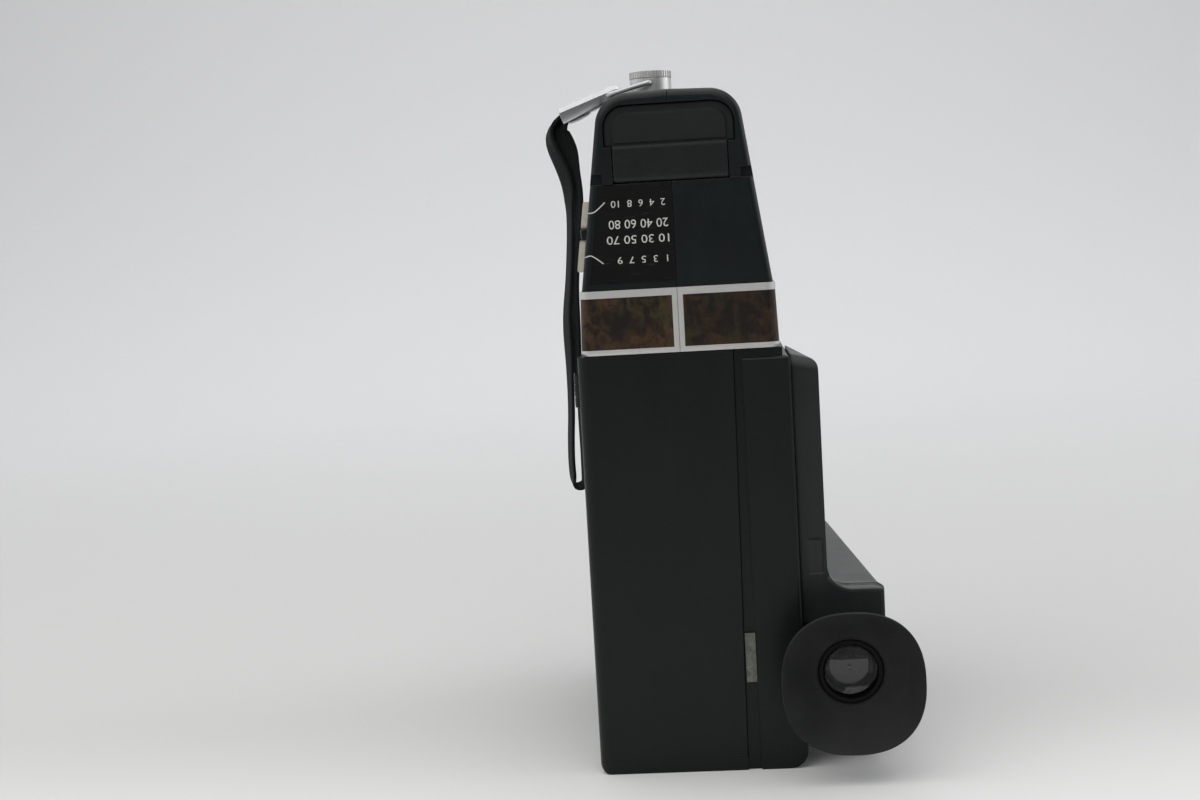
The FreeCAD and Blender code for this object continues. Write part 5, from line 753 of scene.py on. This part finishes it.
class CAMERA_OT_strap(bpy.types.Operator):
    """Wrist strap of flat webbing, folded in half and held by the clamp"""

    bl_idname = "movie_camera.strap"
    bl_label = "Wrist strap"

    def execute(self, context):
        settings = context.scene.movie_camera_strap
        colours = context.scene.movie_camera_finish
        line = strap_line()
        run = np.append(0.0, np.cumsum(np.linalg.norm(np.diff(line, axis=0), axis=1)))
        length = run[-1]
        # The outer strand leans one way as the line runs down, the inner one the other way as it runs up
        heights, outer, inner = np.array(STRAP_LEAN).T * np.array([[MM], [np.pi / 180], [np.pi / 180]])
        outer, inner = (np.interp(line[:, 2], heights, lean) for lean in (outer, inner))
        turn = np.where(run < length - run, -outer, inner)
        # A bell-shaped running mean takes the corners off the lean
        window = np.hanning(25)
        turn = np.convolve(np.pad(turn, 12, "edge"), window / window.sum(), "valid") * settings.twist
        tangent = unit(np.gradient(line, axis=0))
        across = np.cos(turn)[:, None] * LEVEL + np.sin(turn)[:, None] * np.cross(tangent, LEVEL)
        section = rounded_section(settings.width / 2, settings.thickness / 2, 5.0, 28)
        # The woven edges stand a little thicker than the middle
        section[:, 1] *= 0.93 + 0.07 * (np.abs(section[:, 0]) / (settings.width / 2)) ** 6
        chart = points(np.append(section[:, 0], section[0, 0]), run[:, None])
        strap = grid_object("strap_webbing", carried(line, across, section), chart=chart, sharp=60)
        add_piece(strap, "strap", webbing("woven_nylon", colours.strap), ["wrist_strap"])
        return {"FINISHED"}


class CAMERA_OT_clamp(bpy.types.Operator):
    """Clamp of the strap: sheet folded round the bail wire, with its tongue turned under"""

    bl_idname = "movie_camera.clamp"
    bl_label = "Strap clamp"

    def execute(self, context):
        settings = context.scene.movie_camera_strap
        half_width = settings.clamp_width / 2
        half = settings.clamp_thickness / 2
        wall, lift, past_wire = 0.42 * MM, 0.2 * MM, 3.2 * MM
        left, along, upward, length = clamp_axes()
        left = left + upward * lift
        # Outline of the sheet: broad chamfers above, small rounds below, as (across, upward)
        corners = np.array([
            (0.0, half), (half_width - 1.2 * MM, half), (half_width - 0.75 * MM, half - 0.1 * MM),
            (half_width - 0.16 * MM, half - 1.9 * MM), (half_width - 0.5 * MM, half - 1.95 * MM),
            (half_width - 0.5 * MM, half - 2.25 * MM), (half_width, half - 2.3 * MM),
            (half_width, -half + 0.6 * MM), (half_width - 0.18 * MM, -half + 0.18 * MM),
            (half_width - 0.6 * MM, -half), (0.0, -half),
        ])
        outline = np.concatenate([corners, corners[1:-1][::-1] * (-1, 1)])
        # Stations as (reach, scale of the outline): the hollow mouth, its lip, the length and the rounded end
        inset, lip = (1 - share * wall / np.array([half_width, half]) for share in (1.0, 0.2))
        whole = np.ones(2)
        straight = length + past_wire - half
        stations = [
            (4.0 * MM, inset), (0.15 * MM, inset), (0.0, (inset + lip) / 2), (0.05 * MM, lip), (0.15 * MM, whole),
        ]
        stations += [(reach, whole) for reach in np.linspace(0.4 * MM, straight, 10)]
        bend = np.linspace(0, np.pi / 2, 9)[1:]
        stations += [(straight + half * np.sin(b), np.array([1.0, max(np.cos(b), 0.02)])) for b in bend]
        reaches = np.array([reach for reach, _ in stations])[:, None]
        sections = np.array([outline * scale for _, scale in stations])

        def sagging(reach):
            """Share of the half thickness below: more at the strap's mouth, less at the wire."""
            return 0.78 + 0.5 * np.clip(1 - reach / (19 * MM), 0, 1)

        height = np.where(sections[..., 1] < 0, sections[..., 1] * sagging(reaches), sections[..., 1])
        grid = left + reaches[..., None] * along + sections[..., 0:1] * LEVEL + height[..., None] * upward
        sleeve = grid_object("strap_clamp_sleeve", grid, sharp=25)
        # The tongue: a thin strip turned under the sleeve, standing a little below it
        count = 12
        reach = np.linspace(2.0 * MM, 10.5 * MM, count)
        bow = np.sin(np.pi * np.linspace(0, 1, count)) ** 0.6
        drop = -half * sagging(reach) - 0.1 * MM - 0.45 * MM * bow
        line = left + along * reach[:, None] + upward * drop[:, None]
        strip = rounded_section(3.4 * MM, 0.3 * MM, 4.0, 16)
        tongue = grid_object("tongue", carried(line, np.tile(LEVEL, (count, 1)), strip))
        finish = satin_metal("polished_clamp", (0.56, 0.575, 0.59), 0.3, (0.04, 1, 0.04), 0.95, 0.2)
        clamp = merged("strap_clamp_sleeve", [sleeve, tongue])
        add_piece(clamp, "strap", finish, ["strap_clamp"])
        return {"FINISHED"}


class CAMERA_OT_eyecup(bpy.types.Operator):
    """Flared rubber eyecup with a rounded, slightly square rim"""

    bl_idname = "movie_camera.eyecup"
    bl_label = "Eyecup"

    def execute(self, context):
        settings = context.scene.movie_camera_eyecup
        colours = context.scene.movie_camera_finish
        count = 120
        sleeve, bore = 14.2 * MM, 12.05 * MM
        flare_start, dish_end = -6.5 * MM, -12.3 * MM
        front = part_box("eyecup")[1].y - REAR_MM * MM
        rim = -settings.rim_behind
        lip = settings.lip
        # Rings as (share of the way from root to rim, depth ahead of the rear face, radius at the root): up the
        # outside, over the rolled lip, down the dish and through the bore. A ring mixes the root's circle and the
        # rim's outline by its share
        swell = np.linspace(0, 1, 16)
        roll = np.linspace(-0.5, 0.5, 9)[1:] * np.pi
        dish = np.linspace(1, 0, 18)[1:]
        rings = np.concatenate([
            [(0.0, front, sleeve)],
            points(swell ** 1.25, flare_start + (rim + lip - flare_start) * swell ** 0.72, sleeve),
            points(1.0 + 0.028 * np.cos(roll), rim + lip / 2 - lip / 2 * np.sin(roll), sleeve),
            points(dish * 0.985, dish_end + (rim - dish_end) * dish ** 1.35, bore + 0.9 * MM),
            [(0.0, -11.7 * MM, bore + 0.25 * MM), (0.0, -11.2 * MM, bore), (0.0, front, bore)],
        ])
        share, depth, root = (rings[:, k:k + 1] for k in range(3))
        angle = np.linspace(0, 2 * np.pi, count, endpoint=False)
        circle = points(np.cos(angle), np.sin(angle))
        rim_outline = rounded_section(settings.half_width, settings.half_height, settings.squareness, count)
        flare = circle * root[..., None] * (1 - share[..., None]) + rim_outline * share[..., None]
        grid = points(EYE_MM[0] * MM + flare[..., 0], REAR_MM * MM + depth,
                      EYE_MM[1] * MM + flare[..., 1] - settings.rim_drop * share)
        cup = grid_object("eyecup_rubber", grid, wrap_rows=True, sharp=50)
        add_piece(cup, "camera_body", moulded_rubber("eyecup_skin", colours.eyecup), ["eyecup"])
        return {"FINISHED"}


class CAMERA_OT_label(bpy.types.Operator):
    """Plain numbers and pointer lines printed on the label plate, upside down as the camera stands"""

    bl_idname = "movie_camera.label"
    bl_label = "Label print"

    def execute(self, context):
        settings = context.scene.movie_camera_label
        ink = printed("white_print", context.scene.movie_camera_finish.ink)
        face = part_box("label_plate")[0].y
        printed_rows = []
        for text, left, right, middle, tall in FIGURES_MM:
            curve = bpy.data.curves.new("figures", "FONT")
            curve.body = text
            curve.size = 5 * MM
            curve.extrude = 0.02 * MM
            curve.resolution_u = 4
            mesh, flat = curve_mesh(curve)
            share = (flat[:, :2] - flat[:, :2].min(0)) / np.ptp(flat[:, :2], axis=0)
            # Half a turn in the plane of the plate: reading runs from right to left, tops point down
            place = points((right + (left - right) * share[:, 0]) * MM, face - 0.02 * MM + flat[:, 2],
                           (middle + tall * settings.figure_scale * (0.5 - share[:, 1])) * MM)
            mesh.vertices.foreach_set("co", place.ravel())
            mesh.update()
            row = bpy.data.objects.new("figures", mesh)
            context.scene.collection.objects.link(row)
            printed_rows.append(row)
        add_piece(merged("label_figures", printed_rows), "camera_body", ink)

        pointers = []
        radius, proud = GRIP_EDGE_MM * MM, 0.03 * MM
        for corners in POINTERS_MM:
            line = eased([(x * MM, 0.0, z * MM) for x, z in corners], 0.01 * MM)
            # The line follows the rounded rear edge of the grip, and lies on the plate where it reaches it
            edge = (grip_half(line[:, 2] / MM) - GRIP_EDGE_MM) * MM
            past = np.clip(-line[:, 0] - edge, 0, radius * 0.96)
            sink = radius - np.sqrt(radius ** 2 - past ** 2)
            over = np.clip((past - 0.1 * MM) / (0.4 * MM), 0, 1)
            line[:, 1] = (face - proud) * (1 - over) + (REAR_MM * MM - proud) * over + sink
            across = np.cross(np.gradient(line, axis=0), LEVEL)
            stroke = rounded_section(settings.stroke / 2, 0.04 * MM, 4.0, 10)
            pointers.append(grid_object("pointer", carried(line, across, stroke)))
        add_piece(merged("label_pointers", pointers), "camera_body", ink)
        return {"FINISHED"}


class CAMERA_OT_door_ribs(bpy.types.Operator):
    """Fine thumb ribs across the stem of the battery door"""

    bl_idname = "movie_camera.door_ribs"
    bl_label = "Battery door ribs"

    def execute(self, context):
        settings = context.scene.movie_camera_label
        colours = context.scene.movie_camera_finish
        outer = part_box("battery_door")[0].y
        bottom, top = (height * MM for height in DOOR_RIBS_MM)
        count = int((top - bottom) / settings.rib_pitch)
        # Rounded ribs, with narrow grooves: height * (half a cosine wave) ** 0.8
        run = np.linspace(0, 1, count * 10 + 1)
        height = settings.rib_height * (0.5 - 0.5 * np.cos(2 * np.pi * run * count)) ** 0.8
        face = points(outer - height - 0.01 * MM, bottom + (top - bottom) * run)
        section = np.concatenate([face, points(outer + 0.2 * MM, np.array([top, bottom]))])
        half = DOOR_RIBS_HALF_MM
        stations = np.array([-half, 0.05 - half, half - 0.05, half])[:, None] * MM
        grid = points(stations, section[:, 0], section[:, 1])
        # The ribs run out flat at both ends
        grid[(0, 3), :, 1] = np.maximum(grid[(0, 3), :, 1], outer - 0.05 * MM)
        ribs = grid_object("battery_door_ribs", grid, sharp=60)
        finish = moulded("ribbed_plastic", colours.battery_door, 0.42, 0.02 * MM, gloss=0.2)
        add_piece(ribs, "battery_door", finish)
        return {"FINISHED"}


class CAMERA_OT_switch_valley_filler(bpy.types.Operator):
    """Black filler bar in the valley between the sensitivity rocker's two pads, standing for the dark there, partly
    painted shade
    """

    bl_idname = "movie_camera.switch_inlay"
    bl_label = "Rocker valley filler"

    def execute(self, context):
        low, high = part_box("microphone_rocker")
        colours = context.scene.movie_camera_finish
        # A bar of rounded section along the depth, swollen in its middle
        count = 15
        depth = np.linspace(low.y + 0.3 * MM, high.y - 0.3 * MM, count)
        line = points(ROCKER_MM[0] * MM, depth, ROCKER_MM[1] * MM)
        swell = (1 - np.abs(np.linspace(-1, 1, count)) ** 8 * 0.3)[:, None, None]
        section = rounded_section(1.75 * MM, 2.3 * MM, 5.0, 32) * swell
        # Painted shade: a dark bar fills the valley between the pads, partly standing for shade there
        filler_bar = grid_object("rocker_valley_filler", carried(line, np.tile([1.0, 0.0, 0.0], (count, 1)), section))
        finish = moulded("valley_filler_plastic", shade(colours.grip, 0.8), 0.4, 0.02 * MM, gloss=0.3)
        add_piece(filler_bar, "rocker", finish)
        return {"FINISHED"}


class CAMERA_OT_finder_rim(bpy.types.Operator):
    """Raised rim along the rear edge of the finder's roof"""

    bl_idname = "movie_camera.finder_rim"
    bl_label = "Finder rim"

    def execute(self, context):
        colours = context.scene.movie_camera_finish
        # The edge runs down the hollow beside the arm, along the roof, round the corner and down the side; in
        # millimetres, as (across, height)
        hollow_middle, hollow_radius = (59.9, 75.8), 9.5
        corner_middle, corner_radius = (70.0, 65.1), 1.2
        roof_height, side_across, side_end = 66.3, 71.2, 57.5
        hollow = np.radians(np.linspace(205, 270, 14))
        corner = np.radians(np.linspace(90, 0, 8))[1:]
        hollow, corner = (points(np.cos(turn), np.sin(turn)) for turn in (hollow, corner))
        places = np.concatenate([
            hollow_middle + hollow_radius * hollow,
            points(np.linspace(hollow_middle[0], corner_middle[0], 10)[1:], roof_height),
            corner_middle + corner_radius * corner,
            points(side_across, np.linspace(corner_middle[1], side_end, 6)[1:]),
        ])
        outward = np.concatenate([-hollow, np.tile([0.0, 1.0], (9, 1)), corner, np.tile([1.0, 0.0], (5, 1))])
        # Share of the section's height at each place: it rises out of the hollow and dies away round the corner
        rise = np.concatenate([
            0.04 + 0.96 * (0.5 - 0.5 * np.cos(np.linspace(0, np.pi, 14))), np.ones(7), [0.9, 0.55],
            np.linspace(0.45, 0.1, 7), np.linspace(0.1, 0.05, 5),
        ])
        reach, ahead = RIM_SECTION_MM.T
        reach = np.where(reach > 0, reach * rise[:, None], reach)
        grid = points(places[:, 0:1] + reach * outward[:, 0:1], FINDER_REAR_MM + ahead,
                      places[:, 1:2] + reach * outward[:, 1:2])
        rim = grid_object("finder_rim", grid * MM, sharp=50)
        # Painted highlight: the rim is coloured half again paler than the finder plastic, standing for the light band
        # along its edge
        finish = moulded("rim_plastic_painted_highlight", shade(colours.finder, 1.5), 0.32, 0.03 * MM, gloss=1.0)
        add_piece(rim, "camera_body", finish)
        return {"FINISHED"}


class CAMERA_OT_plastics(bpy.types.Operator):
    """Finishes of the moulded parts: housing, grip, doors, switch and trigger"""

    bl_idname = "movie_camera.plastics"
    bl_label = "Plastics"

    def execute(self, context):
        colours = context.scene.movie_camera_finish
        coat(moulded("housing_plastic", colours.housing, 0.34, 0.04 * MM, gloss=0.25), "body_shell", "film_door")
        # The finder's paler colour is partly painted light, standing for the floor light on it
        coat(moulded("finder_plastic", colours.finder, 0.36, 0.05 * MM, gloss=0.36, edge=2.0 * MM), "finder_housing")
        coat(moulded("grip_plastic", colours.grip, 0.33, 0.03 * MM, gloss=0.32), "grip_shell_left",
             "grip_shell_right")
        coat(moulded("battery_door_plastic", colours.battery_door, 0.42, 0.04 * MM, gloss=0.28, edge=1.0 * MM),
             "battery_door")
        coat(moulded("front_panel", (0.008, 0.008, 0.009), 0.3, 0.01 * MM, 0.06), "front_plate")
        coat(moulded("inner_moulding", (0.014, 0.014, 0.014), 0.55, 0.05 * MM), "film_chamber", "trigger_switch",
             "take_up_spindle")
        coat(moulded("trigger_plastic", (0.02, 0.021, 0.023), 0.3, 0.01 * MM, 0.08), "trigger")
        coat(moulded("nylon_gear", (0.42, 0.4, 0.34), 0.45, 0.02 * MM), "take_up_gear")
        coat(aged_cream("cream_switch", colours.switch), "microphone_rocker")
        coat(label_film("label_black", colours.label), "label_plate")
        coat(moulded_rubber("focus_rubber", (0.012, 0.012, 0.012)), "focus_ring", "pinch_roller")
        return {"FINISHED"}


class CAMERA_OT_trim(bpy.types.Operator):
    """Satin trim frames and burl wood panels"""

    bl_idname = "movie_camera.trim"
    bl_label = "Trim band"

    def execute(self, context):
        colours = context.scene.movie_camera_finish
        coat(satin_metal("satin_trim", colours.trim, 0.36, (0.05, 0.05, 1), 0.55, 0.12), "trim_frame_left",
             "trim_frame_right")
        coat(burl_wood("burl_panel", colours.wood_dark, colours.wood_light), "wood_panel_left", "wood_panel_right")
        return {"FINISHED"}


class CAMERA_OT_metals(bpy.types.Operator):
    """Finishes of the metal parts: screw, bail, latch, jacks, lens barrel and mechanism"""

    bl_idname = "movie_camera.metals"
    bl_label = "Metals"

    def execute(self, context):
        colours = context.scene.movie_camera_finish
        shallow = 0.004 * MM
        coat(satin_metal("turned_screw", (0.78, 0.78, 0.77), 0.36, (1, 1, 0.06), 0.8, 0.15, shallow), "thumb_screw",
             "swivel_collar")
        coat(satin_metal("bail_wire", (0.56, 0.57, 0.58), 0.38, (0.1, 1, 0.1), 0.6, 0.2, shallow), "strap_bail")
        coat(worn_latch("latch_metal", colours.latch), "latch_tab")
        coat(satin_metal("jack_metal", (0.62, 0.62, 0.6), 0.3, (0.06, 1, 1), 1.0), "microphone_jack", "earphone_jack")
        coat(satin_metal("steel", (0.5, 0.5, 0.5), 0.28, (0.06, 1, 1), 1.0), "film_gate", "sound_head", "pinch_pin",
             "door_hinge_pins", "film_door_spring", "capstan")
        coat(satin_metal("motor_can", (0.42, 0.42, 0.42), 0.35, (1, 1, 0.06), 0.9, 0.4), "drive_motor")
        coat(satin_metal("brass", (0.62, 0.44, 0.17), 0.3, (1, 1, 0.06), 1.0, 0.4), "tripod_socket", "flywheel")
        coat(satin_metal("plated_contacts", (0.66, 0.63, 0.55), 0.3, (1, 1, 0.06), 1.0, 0.5), "battery_contacts",
             "door_contacts")
        coat(enamelled("black_enamel", (0.006, 0.006, 0.0062), 0.34), "lens_barrel")
        coat(enamelled("dull_enamel", (0.003, 0.003, 0.003), 0.5, 0.12), "eyepiece_tube")
        coat(circuit_lacquer("circuit_lacquer"), "circuit_board")
        coat(wrapped_cell("wrapped_cell", (0.02, 0.022, 0.03), (0.45, 0.2, 0.07)),
             *["battery_cell_%d" % (k + 1) for k in range(6)])
        return {"FINISHED"}


class CAMERA_OT_glasses(bpy.types.Operator):
    """Coated lenses and plain windows"""

    bl_idname = "movie_camera.glasses"
    bl_label = "Glass"

    def execute(self, context):
        coat(clear_glass("coated_glass", (0.86, 0.9, 0.97)), "front_lens")
        coat(clear_glass("eyepiece_glass", (0.6, 0.61, 0.6)), "eye_lens")
        coat(clear_glass("window_glass", (0.75, 0.78, 0.78), 0.05), "finder_window", "meter_window")
        coat(clear_glass("smoked_glass", (0.1, 0.12, 0.1), 0.3), "counter_window")
        return {"FINISHED"}


class CAMERA_PT_pieces(bpy.types.Panel):
    """Buttons for every piece and the stage"""

    bl_idname = "CAMERA_PT_pieces"
    bl_label = "Movie camera"
    bl_space_type = "VIEW_3D"
    bl_region_type = "UI"
    bl_category = "Movie camera"

    def draw(self, context):
        for operator in OPERATORS:
            self.layout.operator(operator.bl_idname)
        for name, group in GROUPS.items():
            box = self.layout.box()
            box.label(text=group.__doc__)
            for setting in group.__annotations__:
                box.prop(getattr(context.scene, name), setting)


OPERATORS = [
    CAMERA_OT_stage, CAMERA_OT_clamp, CAMERA_OT_strap, CAMERA_OT_plastics, CAMERA_OT_trim, CAMERA_OT_metals,
    CAMERA_OT_glasses, CAMERA_OT_eyecup, CAMERA_OT_label, CAMERA_OT_door_ribs, CAMERA_OT_switch_valley_filler,
    CAMERA_OT_finder_rim,
]
GROUPS = {
    "movie_camera_finish": FinishSettings, "movie_camera_strap": StrapSettings,
    "movie_camera_eyecup": EyecupSettings, "movie_camera_label": LabelSettings, "movie_camera_stage": StageSettings,
}
CLASSES = [*GROUPS.values(), *OPERATORS, CAMERA_PT_pieces]


def register():
    for made in CLASSES:
        bpy.utils.register_class(made)
    for name, group in GROUPS.items():
        setattr(bpy.types.Scene, name, bpy.props.PointerProperty(type=group))


def unregister():
    for name in GROUPS:
        delattr(bpy.types.Scene, name)
    for made in reversed(CLASSES):
        bpy.utils.unregister_class(made)


def main():
    register()
    for operator in OPERATORS:
        family, name = operator.bl_idname.split(".")
        getattr(getattr(bpy.ops, family), name)()


if __name__ == "__main__":
    main()
